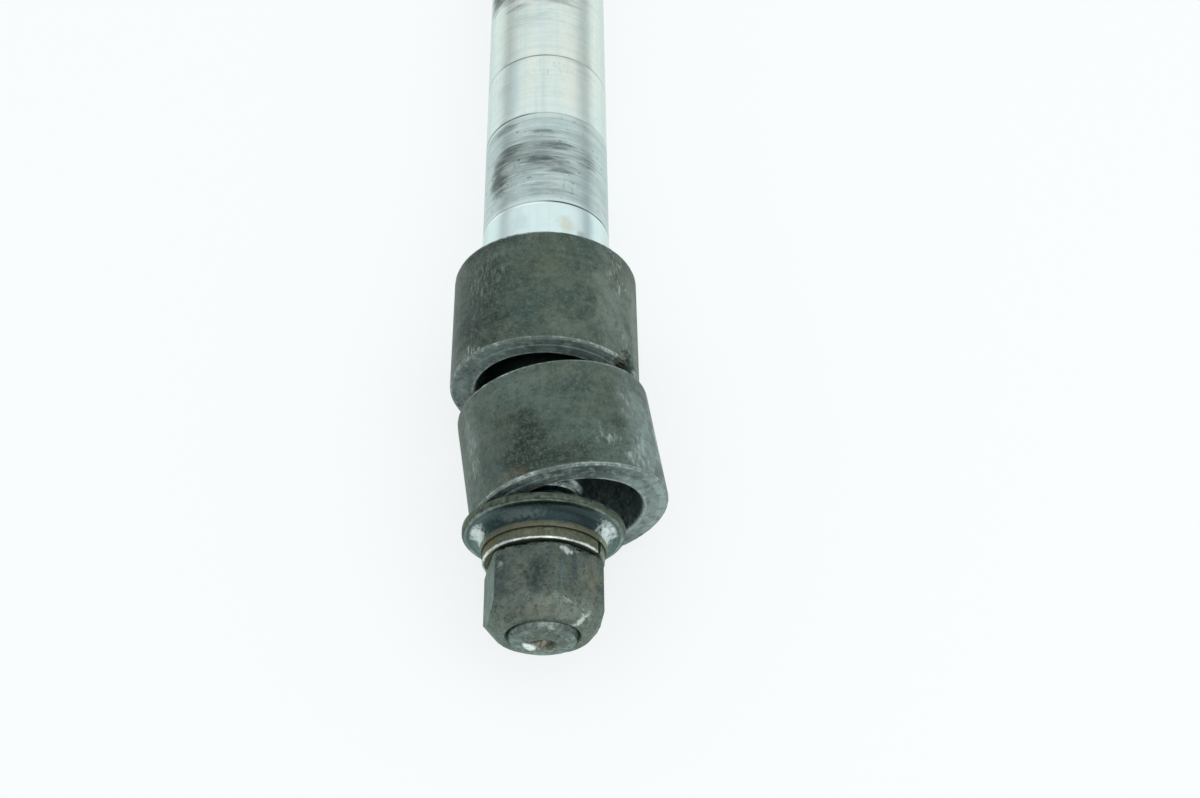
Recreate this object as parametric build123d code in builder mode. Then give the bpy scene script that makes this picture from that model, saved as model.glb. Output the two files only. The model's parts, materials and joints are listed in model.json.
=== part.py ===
"""Front wheel axle with its two spacer collars, stepped washer, split spring washer and nut.

All sizes are in millimetres. The axle lies along Y, with its nut at the -Y end. The origin is on the
centreline, in the face of the head that the wheel stack is pulled against, and +Z is up as the axle
lies on a bench. The shaft is cut to suit what it carries, so its neck and stud take their lengths from
the collars, washers and nut.
"""

import os
from math import asin, atan2, cos, degrees, hypot, radians, sin, sqrt, tan

from build123d import *

# Journal, the ground length that the wheel bearings sit on
journal_diameter = 25.0
journal_length = 157.0
journal_end_chamfer = 1.0

# Neck and cone, the smaller lengths between the journal and the stud
neck_diameter = 19.0
cone_length = 7.7

# Stud and its rounded end with the lathe centre
stud_diameter = 12.0
stud_proud = 1.0
stud_end_diameter = 11.0
stud_end_chamfer = 1.4
dome_radius = 26.0
centre_hole_diameter = 4.2
centre_hole_angle = 60.0

# Head at the far end, a flange with a hexagon behind it
flange_thickness = 5.5
flange_chamfer = 0.8
head_root_chamfer = 0.4
head_across_flats = 27.0
head_height = 11.0
head_chamfer_angle = 30.0
head_clocking = 12.0

# Spacer collars
collar_diameter = 35.0
collar_clearance = 0.25
collar_outer_chamfer = 0.3
collar_bore_chamfer = 0.4
collar_land_diameter = 30.8
collar_land_height = 0.2
inner_collar_length = 24.35
inner_collar_hold = 2.75
outer_collar_length = 21.6
lean_centre_to_collar = 10.0
neck_end_inside_collar = 10.65
gap_between_collars = 2.07
gap_collar_to_washer = 0.35

# Stepped washer
washer_bore_clearance = 0.4
rim_diameter = 28.4
rim_thickness = 1.35
rim_edge_width = 0.6
rim_edge_height = 0.35
hub_diameter = 22.0
hub_height = 2.65
hub_edge_chamfer = 0.15
cove_width = 2.2
cove_height = 2.3

# Split spring washer
spring_clearance = 0.45
spring_width = 4.1
spring_thickness = 2.2
spring_rise = 0.45
spring_gap_width = 0.8
spring_gap_angle = 24.5

# Nut
nut_across_flats = 18.7
nut_height = 12.9
nut_thread_clearance = 0.05
nut_countersink = 0.4
nut_outer_face_diameter = 16.0
nut_outer_chamfer_angle = 51.0
nut_inner_face_diameter = 19.2
nut_inner_chamfer_angle = 30.0
nut_clocking = 16.5

# Play between flat faces that would touch when the nut is tight
face_play = 0.05

# Radii that several pieces share
journal_radius = journal_diameter / 2
neck_radius = neck_diameter / 2
stud_radius = stud_diameter / 2
collar_radius = collar_diameter / 2
collar_bore_radius = journal_radius + collar_clearance
collar_land_radius = collar_land_diameter / 2

# The inner collar just holds on to the end of the journal
shoulder_y = -journal_length
inner_collar_far_y = shoulder_y + inner_collar_hold
inner_collar_near_y = inner_collar_far_y - inner_collar_length

# The outer collar leans until its bore stops a clearance short of the corner where the neck ends
lean_centre_to_neck_end = lean_centre_to_collar + outer_collar_length - neck_end_inside_collar
lean_reach = hypot(neck_radius, lean_centre_to_neck_end)
lean = asin((collar_bore_radius - collar_clearance) / lean_reach) - atan2(neck_radius, lean_centre_to_neck_end)

# How far the leaning collar's far face, near rim and near land reach along Y from the centre it leans about
face_edge_radius = collar_radius - collar_outer_chamfer
near_face_from_lean_centre = lean_centre_to_collar + outer_collar_length
near_rim_from_lean_centre = near_face_from_lean_centre - collar_land_height
far_reach = lean_centre_to_collar * cos(lean) - face_edge_radius * sin(lean)
near_reach = max(
    near_rim_from_lean_centre * cos(lean) + face_edge_radius * sin(lean),
    near_face_from_lean_centre * cos(lean) + collar_land_radius * sin(lean),
)
lean_centre_y = inner_collar_near_y - gap_between_collars + far_reach
neck_end_y = lean_centre_y - lean_centre_to_neck_end
cone_end_y = neck_end_y - cone_length

# The washers and the nut follow each other down the stud
washer_far_y = lean_centre_y - near_reach - gap_collar_to_washer
washer_near_y = washer_far_y - rim_thickness - hub_height
spring_far_y = washer_near_y - face_play
spring_near_y = spring_far_y - spring_thickness - spring_rise
nut_far_y = spring_near_y - face_play
nut_near_y = nut_far_y - nut_height
stud_end_y = nut_near_y - stud_proud


def facing_nut(y):
    """Plane across the axle at y, with X to the right, Z up and its normal towards the nut."""
    return Plane(origin=(0, y, 0), x_dir=(1, 0, 0), z_dir=(0, -1, 0))


def cone_height(wide_diameter, narrow_diameter, angle):
    """Axial height of a cone that narrows at an angle to its flat end."""
    return (wide_diameter - narrow_diameter) / 2 * tan(radians(angle))


def collar_profile(length):
    """Half section of a collar, from its near face at 0 to its far face at length, right of its axis.

    The inner part of the near face is a land that stands proud of the rim.
    """
    with BuildSketch() as profile:
        with Locations(((collar_bore_radius + collar_radius) / 2, (length + collar_land_height) / 2)):
            Rectangle(collar_radius - collar_bore_radius, length - collar_land_height)
        chamfer(profile.vertices().group_by(Axis.X)[-1], collar_outer_chamfer)
        with Locations(((collar_bore_radius + collar_land_radius) / 2, length / 2)):
            Rectangle(collar_land_radius - collar_bore_radius, length)
        chamfer(profile.vertices().group_by(Axis.X)[0], collar_bore_chamfer)
    return profile.sketch


# Axle shaft: head, journal, neck, cone and stud, turned in one piece
head_across_corners = 2 * head_across_flats / sqrt(3)
head_chamfer_height = cone_height(head_across_corners, head_across_flats, head_chamfer_angle)
head_end_y = flange_thickness + head_height
stud_end_radius = stud_end_diameter / 2
centre_hole_radius = centre_hole_diameter / 2
centre_hole_depth = centre_hole_radius / tan(radians(centre_hole_angle / 2))
dome_rise = sqrt(dome_radius**2 - centre_hole_radius**2) - sqrt(dome_radius**2 - stud_end_radius**2)
dome_tip_y = stud_end_y - dome_rise
with BuildPart() as axle_shaft:
    with BuildSketch(facing_nut(head_end_y)):
        RegularPolygon(head_across_corners / 2, 6, rotation=head_clocking)
    extrude(amount=head_height)
    with BuildSketch() as head_cone:
        with BuildLine():
            Polyline(
                (0, flange_thickness),
                (head_across_corners / 2, flange_thickness),
                (head_across_corners / 2, head_end_y - head_chamfer_height),
                (head_across_flats / 2, head_end_y),
                (0, head_end_y),
                close=True,
            )
        make_face()
    revolve(axis=Axis.Y, mode=Mode.INTERSECT)
    with BuildSketch() as turned_profile:
        with BuildLine():
            turned = Polyline(
                (0, flange_thickness),
                (collar_radius - flange_chamfer, flange_thickness),
                (collar_radius, flange_thickness - flange_chamfer),
                (collar_radius, flange_chamfer / 2),
                (collar_radius - flange_chamfer / 2, 0),
                (journal_radius, 0),
                (journal_radius, shoulder_y + journal_end_chamfer),
                (journal_radius - journal_end_chamfer, shoulder_y),
                (neck_radius, shoulder_y),
                (neck_radius, neck_end_y),
                (stud_radius, cone_end_y),
                (stud_radius, stud_end_y + stud_end_chamfer),
                (stud_end_radius, stud_end_y),
            )
            dome = RadiusArc(turned @ 1, (centre_hole_radius, dome_tip_y), dome_radius)
            Polyline(dome @ 1, (0, dome_tip_y + centre_hole_depth), (0, flange_thickness))
        make_face()
        head_root = turned_profile.vertices().sort_by_distance((journal_radius, 0))[0]
        chamfer(head_root, head_root_chamfer)
    revolve(axis=Axis.Y)
    with BuildSketch() as head_centre_hole:
        with BuildLine():
            Polyline(
                (0, head_end_y),
                (centre_hole_radius, head_end_y),
                (0, head_end_y - centre_hole_depth),
                close=True,
            )
        make_face()
    revolve(axis=Axis.Y, mode=Mode.SUBTRACT)
axle_shaft.part.label = "axle_shaft"

# Inner collar, straight on the end of the journal
with BuildPart() as inner_collar:
    with BuildSketch(Plane(origin=(0, inner_collar_near_y, 0), z_dir=(0, 0, 1))):
        add(collar_profile(inner_collar_length))
    revolve(axis=Axis.Y)
inner_collar.part.label = "inner_collar"

# Outer collar, leaning on the neck
lean_axis = Axis((0, lean_centre_y, 0), (-sin(lean), cos(lean), 0))
outer_collar_plane = Plane(
    origin=lean_axis.position - lean_axis.direction * near_face_from_lean_centre,
    x_dir=(cos(lean), sin(lean), 0),
    z_dir=(0, 0, 1),
)
with BuildPart() as outer_collar:
    with BuildSketch(outer_collar_plane):
        add(collar_profile(outer_collar_length))
    revolve(axis=lean_axis)
outer_collar.part.label = "outer_collar"

# Stepped washer: thin rim, hollow cove and raised hub towards the nut
washer_bore_radius = stud_radius + washer_bore_clearance
rim_radius = rim_diameter / 2
hub_radius = hub_diameter / 2
rim_near_y = washer_far_y - rim_thickness
with BuildPart() as stepped_washer:
    with BuildSketch() as washer_profile:
        with BuildLine():
            rim_side = Polyline(
                (washer_bore_radius, washer_near_y),
                (washer_bore_radius, washer_far_y),
                (rim_radius, washer_far_y),
                (rim_radius, rim_near_y + rim_edge_height),
                (rim_radius - rim_edge_width, rim_near_y),
                (hub_radius + cove_width, rim_near_y),
            )
            cove = Bezier(rim_side @ 1, (hub_radius, rim_near_y), (hub_radius, rim_near_y - cove_height))
            Polyline(
                cove @ 1,
                (hub_radius, washer_near_y + hub_edge_chamfer),
                (hub_radius - hub_edge_chamfer, washer_near_y),
                rim_side @ 0,
            )
        make_face()
    revolve(axis=Axis.Y)
stepped_washer.part.label = "stepped_washer"

# Spring washer: a square bar coiled almost one full turn, with its ends a rise apart along the stud
spring_inner_radius = stud_radius + spring_clearance
spring_mean_radius = spring_inner_radius + spring_width / 2
spring_gap = degrees(spring_gap_width / spring_mean_radius)
spring_turn = 360 - spring_gap
spring_start = radians(spring_gap_angle - spring_gap / 2)
coil_plane = Plane(
    origin=(0, spring_far_y - spring_thickness / 2, 0),
    x_dir=(cos(spring_start), 0, sin(spring_start)),
    z_dir=(0, -1, 0),
)
coil_pitch = spring_rise * 360 / spring_turn
coil = coil_plane.location * Helix(coil_pitch, spring_rise, spring_mean_radius, lefthand=True)
with BuildPart() as spring_washer:
    with BuildSketch(Plane(origin=coil @ 0, x_dir=coil_plane.x_dir, z_dir=coil % 0)):
        Rectangle(spring_width, spring_thickness)
    sweep(path=coil, is_frenet=True)
spring_washer.part.label = "spring_washer"

# Nut: hexagon with a deep chamfer at its outer end and a shallow one against the washer
nut_across_corners = 2 * nut_across_flats / sqrt(3)
nut_bore_radius = stud_radius + nut_thread_clearance
nut_outer_chamfer = cone_height(nut_across_corners, nut_outer_face_diameter, nut_outer_chamfer_angle)
nut_inner_chamfer = cone_height(nut_across_corners, nut_inner_face_diameter, nut_inner_chamfer_angle)
with BuildPart() as axle_nut:
    with BuildSketch(facing_nut(nut_far_y)):
        RegularPolygon(nut_across_corners / 2, 6, rotation=nut_clocking)
    extrude(amount=nut_height)
    with BuildSketch() as nut_profile:
        with BuildLine():
            Polyline(
                (nut_bore_radius + nut_countersink, nut_far_y),
                (nut_inner_face_diameter / 2, nut_far_y),
                (nut_across_corners / 2, nut_far_y - nut_inner_chamfer),
                (nut_across_corners / 2, nut_near_y + nut_outer_chamfer),
                (nut_outer_face_diameter / 2, nut_near_y),
                (nut_bore_radius + nut_countersink, nut_near_y),
                (nut_bore_radius, nut_near_y + nut_countersink),
                (nut_bore_radius, nut_far_y - nut_countersink),
                close=True,
            )
        make_face()
    revolve(axis=Axis.Y, mode=Mode.INTERSECT)
axle_nut.part.label = "axle_nut"

pieces = [axle_shaft, inner_collar, outer_collar, stepped_washer, spring_washer, axle_nut]
os.makedirs("parts", exist_ok=True)
for piece in pieces:
    export_step(piece.part, f"parts/{piece.part.label}.step")

print("lean", round(degrees(lean), 3), "degrees about y", round(lean_centre_y, 3))
print("shoulder", shoulder_y, "neck end", round(neck_end_y, 3), "cone end", round(cone_end_y, 3))
print("washer", round(washer_far_y, 3), "nut", round(nut_far_y, 3), "to", round(nut_near_y, 3))
print("stud end", round(stud_end_y, 3), "tip", round(dome_tip_y, 3), "total", round(head_end_y - dome_tip_y, 3))
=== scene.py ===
# %% [markdown]
# # A used front wheel axle on a pale table
# The object is a turned steel axle with two dark spacer collars, a stepped washer, a split spring washer
# and a hexagon nut. Its sizes, places and joints come from a measured model, which is loaded first. This
# lesson gives each piece its rounded edges, its screw thread and its finish.

# %% Load the measured model
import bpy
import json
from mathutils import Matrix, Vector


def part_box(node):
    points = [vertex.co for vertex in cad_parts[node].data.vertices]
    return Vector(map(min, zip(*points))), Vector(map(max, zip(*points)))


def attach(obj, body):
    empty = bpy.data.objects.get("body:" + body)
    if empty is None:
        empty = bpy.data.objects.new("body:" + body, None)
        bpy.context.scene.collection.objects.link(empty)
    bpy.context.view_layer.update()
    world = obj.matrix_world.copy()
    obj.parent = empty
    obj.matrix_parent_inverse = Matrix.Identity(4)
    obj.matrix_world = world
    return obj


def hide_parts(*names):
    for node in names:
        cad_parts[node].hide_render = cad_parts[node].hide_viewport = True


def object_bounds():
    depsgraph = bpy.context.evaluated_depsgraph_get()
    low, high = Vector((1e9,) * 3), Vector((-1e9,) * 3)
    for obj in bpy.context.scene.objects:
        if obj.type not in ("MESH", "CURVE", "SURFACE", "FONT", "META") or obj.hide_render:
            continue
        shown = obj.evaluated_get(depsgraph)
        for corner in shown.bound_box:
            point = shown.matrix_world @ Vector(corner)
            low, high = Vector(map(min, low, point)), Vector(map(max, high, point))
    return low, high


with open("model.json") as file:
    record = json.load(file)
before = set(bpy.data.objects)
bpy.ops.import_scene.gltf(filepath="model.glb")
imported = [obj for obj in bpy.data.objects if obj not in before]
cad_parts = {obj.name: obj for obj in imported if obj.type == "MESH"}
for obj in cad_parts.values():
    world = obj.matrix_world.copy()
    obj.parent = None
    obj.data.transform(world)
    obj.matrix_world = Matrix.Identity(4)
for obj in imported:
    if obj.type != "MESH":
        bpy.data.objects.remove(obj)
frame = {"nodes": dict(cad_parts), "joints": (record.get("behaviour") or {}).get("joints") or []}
cad_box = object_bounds()
print("pieces", sorted(frame["nodes"]))

# %% [markdown]
# The mesh tools are in bmesh, and Vector, Matrix and noise come from mathutils. Blender counts in metres,
# but a machinist thinks in millimetres, so every size below is in millimetres and MM turns it into metres.

# %% Tools and units
import json
from math import atan2, cos, degrees, hypot, pi, radians, sin, sqrt, tan

import bmesh
import bpy
from mathutils import Matrix, Vector, noise
from mathutils.kdtree import KDTree

MM = 0.001
ROUND_STEPS = 144
CORNER_SEGMENTS = 3
AXLE_LINE = Vector((0, 1, 0))
STATION_TOLERANCE = 0.02
scene = bpy.context.scene
scene.view_settings.view_transform = "Standard"


def span(node):
    """Lowest and highest y of a piece of the measured model, in millimetres."""
    low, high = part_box(node)
    return low.y / MM, high.y / MM


def stations(node, radius):
    """Lowest and highest y, in millimetres, of the measured points at one radius from the axle's line."""
    points = [vertex.co / MM for vertex in frame["nodes"][node].data.vertices]
    found = [point.y for point in points if abs(hypot(point.x, point.z) - radius) < STATION_TOLERANCE]
    return min(found), max(found)


print("axle from", [round(y, 2) for y in span("axle_shaft")])

# %% [markdown]
# ## Turned pieces
# A lathe makes nearly everything here, so the same idea makes the meshes: draw half of the section, round
# its corners, and spin it about the axle's line. Rounding the corners of the section, before the spin, is
# lighter than bevelling whole rings of edges later. It also tells where an edge is, and an edge is where
# steel wears bright. Each point keeps that as a number called worn, from 0 to 1, for the materials to read.
# Only the edges that other things rub on are marked: those are the ones with the larger roundings.

# %% Lathe
WORN_REACH = 0.7
LEAST_WORN_ROUNDING = 0.1
DOUBLES_REACH = 0.0005


def mark_worn(bm, edge_places):
    """Give every point its worn value: 1 on an edge, falling to 0 a short way from it."""
    worn = bm.verts.layers.float.get("worn") or bm.verts.layers.float.new("worn")
    tree = KDTree(len(edge_places))
    for index, place in enumerate(edge_places):
        tree.insert(place, index)
    tree.balance()
    for vert in bm.verts:
        vert[worn] = max(0, 1 - tree.find(vert.co)[2] / (WORN_REACH * MM)) if edge_places else 0


def lathe(points, spacing=1.2, closed=True, steps=ROUND_STEPS, turn=360, start=0, advance=0):
    """Spin a half section of (radius, y, rounding) points, in millimetres, about the axle's line."""
    bm = bmesh.new()
    ring = [bm.verts.new((radius * MM, y * MM, 0)) for radius, y, _ in points]
    for pair in zip(ring, ring[1:] + ring[:1] if closed else ring[1:]):
        bm.edges.new(pair)
    for vert, (_, _, rounding) in zip(ring, points):
        if rounding:
            bmesh.ops.bevel(bm, geom=[vert], offset=rounding * MM, offset_type="OFFSET", affect="VERTICES",
                            segments=CORNER_SEGMENTS, profile=0.5, material=-1, clamp_overlap=True)
    for edge in list(bm.edges):
        cuts = int(edge.calc_length() / (spacing * MM))
        if cuts:
            bmesh.ops.subdivide_edges(bm, edges=[edge], cuts=cuts)
    mark_worn(bm, [Vector((radius, y, 0)) * MM for radius, y, rounding in points
                   if rounding > LEAST_WORN_ROUNDING])
    bmesh.ops.rotate(bm, verts=bm.verts, cent=(0, 0, 0), matrix=Matrix.Rotation(radians(-start), 3, "Y"))
    bmesh.ops.spin(bm, geom=bm.verts[:] + bm.edges[:], cent=(0, 0, 0), axis=AXLE_LINE,
                   dvec=AXLE_LINE * advance * MM / steps, angle=radians(turn), steps=steps,
                   use_merge=turn == 360)
    bmesh.ops.remove_doubles(bm, verts=bm.verts, dist=DOUBLES_REACH * MM)
    cut_ends = [edge for edge in bm.edges if edge.is_boundary]
    if closed and cut_ends:
        bmesh.ops.holes_fill(bm, edges=cut_ends)
    bmesh.ops.recalc_face_normals(bm, faces=bm.faces)
    return bm


# %% [markdown]
# ## Screw thread
# A thread is one pitch of its outline, spun one turn while it moves along the axle, and then copied once
# for each turn. Each copy meets the one before it, and merging the doubles closes them. The strip is cut
# square at both ends. The outline only says crest or root, as 1 or 0, and a function gives the radius for
# that at each place. So the ridges can rise on to the cone behind the stud and sink at its tip, as on a
# real bolt, and both ends come out as clean circles that the next surface can join.

# %% Thread
THREAD_PITCH = 1.5
THREAD_STEPS = 96
THREAD_OUTLINE = [(0.0, 1.0), (0.16, 1.0), (0.44, 0.0), (0.56, 0.0), (0.84, 1.0), (1.0, 1.0)]
TURNS_BEFORE, SPARE_TURNS = 2, 5
THREAD_DOUBLES_REACH = 0.002


def thread(far_y, near_y, phase_y, radius_at):
    """Open threaded tube from far_y to near_y. radius_at(y, out) is its radius, out being 1 on a crest."""
    bm = bmesh.new()
    bm.verts.layers.float.new("worn")
    turns = int((far_y - near_y) / THREAD_PITCH) + SPARE_TURNS
    start = phase_y + THREAD_PITCH * (int((near_y - phase_y) / THREAD_PITCH) - TURNS_BEFORE)
    strip = [bm.verts.new(((1 + out) * MM, (start + along * THREAD_PITCH) * MM, 0))
             for along, out in THREAD_OUTLINE]
    for pair in zip(strip, strip[1:]):
        bm.edges.new(pair)
    bmesh.ops.spin(bm, geom=bm.verts[:] + bm.edges[:], cent=(0, 0, 0), axis=AXLE_LINE,
                   dvec=AXLE_LINE * THREAD_PITCH * MM / THREAD_STEPS, angle=2 * pi, steps=THREAD_STEPS)
    one_turn = bm.verts[:] + bm.edges[:] + bm.faces[:]
    for turn in range(1, turns):
        copied = bmesh.ops.duplicate(bm, geom=one_turn)["geom"]
        bmesh.ops.translate(bm, vec=AXLE_LINE * THREAD_PITCH * turn * MM,
                            verts=[item for item in copied if isinstance(item, bmesh.types.BMVert)])
    bmesh.ops.remove_doubles(bm, verts=bm.verts, dist=THREAD_DOUBLES_REACH * MM)
    for y, outward in ((far_y, 1), (near_y, -1)):
        bmesh.ops.bisect_plane(bm, geom=bm.verts[:] + bm.edges[:] + bm.faces[:], dist=1e-9,
                               plane_co=(0, y * MM, 0), plane_no=AXLE_LINE * outward, clear_outer=True)
    for vert in bm.verts:
        distance = hypot(vert.co.x, vert.co.z) / MM
        scale = radius_at(vert.co.y / MM, distance - 1) / distance
        vert.co.x *= scale
        vert.co.z *= scale
    return bm


def join_meshes(*parts):
    """Put several meshes into the first one and return it."""
    whole = parts[0]
    for part in parts[1:]:
        carried = bpy.data.meshes.new("carried")
        part.to_mesh(carried)
        part.free()
        whole.from_mesh(carried)
        bpy.data.meshes.remove(carried)
    return whole


def bridge_at(bm, y, reach):
    """Join the two open rings that lie near y, both in millimetres."""
    ring = [edge for edge in bm.edges
            if edge.is_boundary and all(abs(vert.co.y / MM - y) < reach for vert in edge.verts)]
    made = bmesh.ops.bridge_loops(bm, edges=ring)
    print("joined at", round(y, 2), "with", len(made["faces"]), "faces")


# %% [markdown]
# ## Hexagons
# The nut and the head are six-sided, with cones cut at their ends. Where a cone meets a flat it leaves a
# curved line. A ring of many points shows that curve: each point goes out as far as the hexagon reaches in
# its direction, and the rows slide along until they meet the cones. The long corners and the curved lines
# are then bevelled, because a spanner has rubbed them round.

# %% Hexagon
HEXAGON_STEPS = 96
LEAST_DROP = 0.35
FACE_INSET = 0.8
CORNER_FROM, CONE_LINE_FROM = 50, 20
LONG_EDGES = ((3.0, 7), (1.0, 2))


def hexagon(far_y, near_y, across_flats, clocking, far_face, far_angle, near_face, near_angle,
            corner_rounding, cone_rounding):
    """Open six-sided shell of six rings of points, three for each end.

    Each end has a flat face of a radius in millimetres and a cone of an angle in degrees.
    """
    bm = bmesh.new()
    turn = Matrix.Rotation(radians(90), 4, "X") @ Matrix.Rotation(radians(clocking), 4, "Z")
    row = bmesh.ops.create_circle(bm, segments=HEXAGON_STEPS, radius=1, matrix=turn)["verts"]
    rows = [row]
    for _ in range(5):
        edges = [edge for edge in bm.edges if all(vert in rows[-1] for vert in edge.verts)]
        made = bmesh.ops.extrude_edge_only(bm, edges=edges)["geom"]
        rows.append([item for item in made if isinstance(item, bmesh.types.BMVert)])
    for index, row in enumerate(rows):
        far_half = index < 3
        face, cone, end = (far_face, far_angle, far_y) if far_half else (near_face, near_angle, near_y)
        for vert in row:
            direction = Vector((vert.co.x, 0, vert.co.z)).normalized()
            angle = atan2(direction.z, direction.x)
            reach = across_flats / 2 / cos((angle - radians(clocking)) % radians(60) - radians(30))
            drop = max(reach - face, 0) * tan(radians(cone))
            inset = FACE_INSET if index in (0, 5) else 0
            meets_flat = index in (2, 3)
            radius = reach if meets_flat else min(reach, face) - inset
            along = end + (max(drop, LEAST_DROP) if meets_flat else 0) * (-1 if far_half else 1)
            vert.co = (direction * radius + AXLE_LINE * along) * MM
    bmesh.ops.recalc_face_normals(bm, faces=bm.faces)
    edge_places = []
    for least_angle, size in ((CORNER_FROM, corner_rounding), (CONE_LINE_FROM, cone_rounding)):
        sharp = [edge for edge in bm.edges
                 if not edge.is_boundary and edge.calc_face_angle() > radians(least_angle)]
        soft = bmesh.ops.bevel(bm, geom=sharp, offset=size * MM, offset_type="OFFSET", affect="EDGES",
                               segments=CORNER_SEGMENTS, profile=0.5, material=-1, clamp_overlap=True)
        edge_places += [vert.co.copy() for vert in soft["verts"]]
    for length, cuts in LONG_EDGES:
        long_edges = [edge for edge in bm.edges if edge.calc_length() > length * MM]
        bmesh.ops.subdivide_edges(bm, edges=long_edges, cuts=cuts)
    mark_worn(bm, edge_places)
    return bm


# %% [markdown]
# ## The axle shaft
# The shaft is one bar: a hexagon head and a flange, the long ground journal for the wheel bearings, a
# smaller neck, a short cone and the threaded stud with its domed end. Old bearings and seals have left
# three fine rings in the journal. The seat and the shoulders come from the measured model, and the three
# rings from the photograph.

# %% Shaft sizes
JOURNAL_RADIUS = 12.5
NECK_RADIUS = 9.5
STUD_RADIUS = 6.0
STUD_ROOT_RADIUS = 5.1
STUD_END_RADIUS = 5.5
STUD_END_CHAMFER = 1.4
CENTRE_HOLE_RADIUS = 2.1
CENTRE_HOLE_DEPTH = CENTRE_HOLE_RADIUS / tan(radians(30))
DOME_RADIUS = 26.0
FLANGE_RADIUS = 17.5
FLANGE_THICKNESS = 5.5
HEAD_ACROSS_FLATS = 27.0
HEAD_CLOCKING = 12.0
HEAD_CONE_ANGLE = 30.0
HEAD_SINK = 0.5
RING_LINES = (-142.8, -119.6, -103.3)
RING_DEPTH = 0.02
RING_HALF_WIDTH = 0.2
RING_FLOOR_HALF_WIDTH = 0.07
DOME_STEPS = 5
FLANGE_CHAMFER, SEAT_CHAMFER, SHOULDER_CHAMFER = 0.8, 0.4, 1
HEAD_ROUNDING, HOLE_ROUNDING = 0.3, 0.15

dome_tip_y, head_end_y = span("axle_shaft")
neck_end_y, shoulder_y = stations("axle_shaft", NECK_RADIUS)
cone_end_y = stations("axle_shaft", STUD_RADIUS)[1]
stud_end_y = stations("axle_shaft", STUD_END_RADIUS)[0]
print("shoulder", round(shoulder_y, 2), "cone end", round(cone_end_y, 2), "stud end", round(stud_end_y, 2))

# %% [markdown]
# The plain part is one open section from the middle of the head's back to the stud, and the lathe turns it
# in one go. A ring line is a shallow groove of four points.

# %% Plain part
THREAD_ON_CONE = 2.4
CONE_SLOPE = (NECK_RADIUS - STUD_RADIUS) / (neck_end_y - cone_end_y)
thread_far_y = cone_end_y + THREAD_ON_CONE


def ring_line(y):
    """Four points of a shallow groove round the journal."""
    floor_radius = JOURNAL_RADIUS - RING_DEPTH
    return [(JOURNAL_RADIUS, y + RING_HALF_WIDTH, 0), (floor_radius, y + RING_FLOOR_HALF_WIDTH, 0),
            (floor_radius, y - RING_FLOOR_HALF_WIDTH, 0), (JOURNAL_RADIUS, y - RING_HALF_WIDTH, 0)]


plain_section = [(0, FLANGE_THICKNESS, 0), (FLANGE_RADIUS - FLANGE_CHAMFER, FLANGE_THICKNESS, 0.3),
                 (FLANGE_RADIUS, FLANGE_THICKNESS - FLANGE_CHAMFER, 0.3),
                 (FLANGE_RADIUS, SEAT_CHAMFER, 0.15), (FLANGE_RADIUS - SEAT_CHAMFER, 0, 0.15),
                 (JOURNAL_RADIUS + SEAT_CHAMFER, 0, 0), (JOURNAL_RADIUS, -SEAT_CHAMFER, 0)]
for line_y in sorted(RING_LINES, reverse=True):
    plain_section += ring_line(line_y)
plain_section += [(JOURNAL_RADIUS, shoulder_y + SHOULDER_CHAMFER, 0.2),
                  (JOURNAL_RADIUS - SHOULDER_CHAMFER, shoulder_y, 0.2),
                  (NECK_RADIUS, shoulder_y, 0), (NECK_RADIUS, neck_end_y, 0.4),
                  (STUD_RADIUS + THREAD_ON_CONE * CONE_SLOPE, thread_far_y, 0)]
plain = lathe(plain_section, spacing=1.5, closed=False)
print("plain part has", len(plain.faces), "faces")

# %% [markdown]
# The thread begins on the cone and ends at the stud's end. Its groove runs out at both, as it does where a
# die starts and stops, and the stud's last stretch is rounded off by years of nuts going on and off.

# %% Threaded stud
BRIDGE_GAP = 0.06
THREAD_DEPTH = STUD_RADIUS - STUD_ROOT_RADIUS
THREAD_RUN_OUT = 0.7
THREAD_LEAD_IN = 0.22
STUD_END_CURVE = 0.75


def stud_radius(y, out):
    """Radius of the stud at y, from the crest, where out is 1, to the root, where it is 0."""
    from_end = y - stud_end_y
    surface = STUD_RADIUS + max(y - cone_end_y, 0) * CONE_SLOPE
    end_rise = (STUD_RADIUS - STUD_END_RADIUS) * (from_end / STUD_END_CHAMFER) ** STUD_END_CURVE
    surface = min(surface, STUD_END_RADIUS + end_rise)
    depth = min(THREAD_DEPTH, (thread_far_y - y) * THREAD_RUN_OUT, from_end * THREAD_LEAD_IN)
    return surface - max(depth, 0) * (1 - out)


stud = thread(thread_far_y - BRIDGE_GAP, stud_end_y + BRIDGE_GAP, stud_end_y, stud_radius)
print("stud has", len(stud.faces), "faces")

# %% [markdown]
# The end of the stud is a low dome with a lathe centre, the small cone that held the bar while it was
# turned. The head at the other end has such a hole too, in a flat face with six chamfered corners.

# %% Dome and head
dome_section = [(STUD_END_RADIUS, stud_end_y, 0)]
dome_base = sqrt(DOME_RADIUS ** 2 - STUD_END_RADIUS ** 2)
for step in range(1, DOME_STEPS + 1):
    radius = STUD_END_RADIUS + (CENTRE_HOLE_RADIUS - STUD_END_RADIUS) * step / DOME_STEPS
    rise = sqrt(DOME_RADIUS ** 2 - radius ** 2) - dome_base
    dome_section.append((radius, stud_end_y - rise, HOLE_ROUNDING if step == DOME_STEPS else 0))
dome_section.append((0, dome_tip_y + CENTRE_HOLE_DEPTH, 0))
dome = lathe([(STUD_END_RADIUS + 0.02, stud_end_y + BRIDGE_GAP / 2, 0)] + dome_section, spacing=0.6,
             closed=False)

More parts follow.
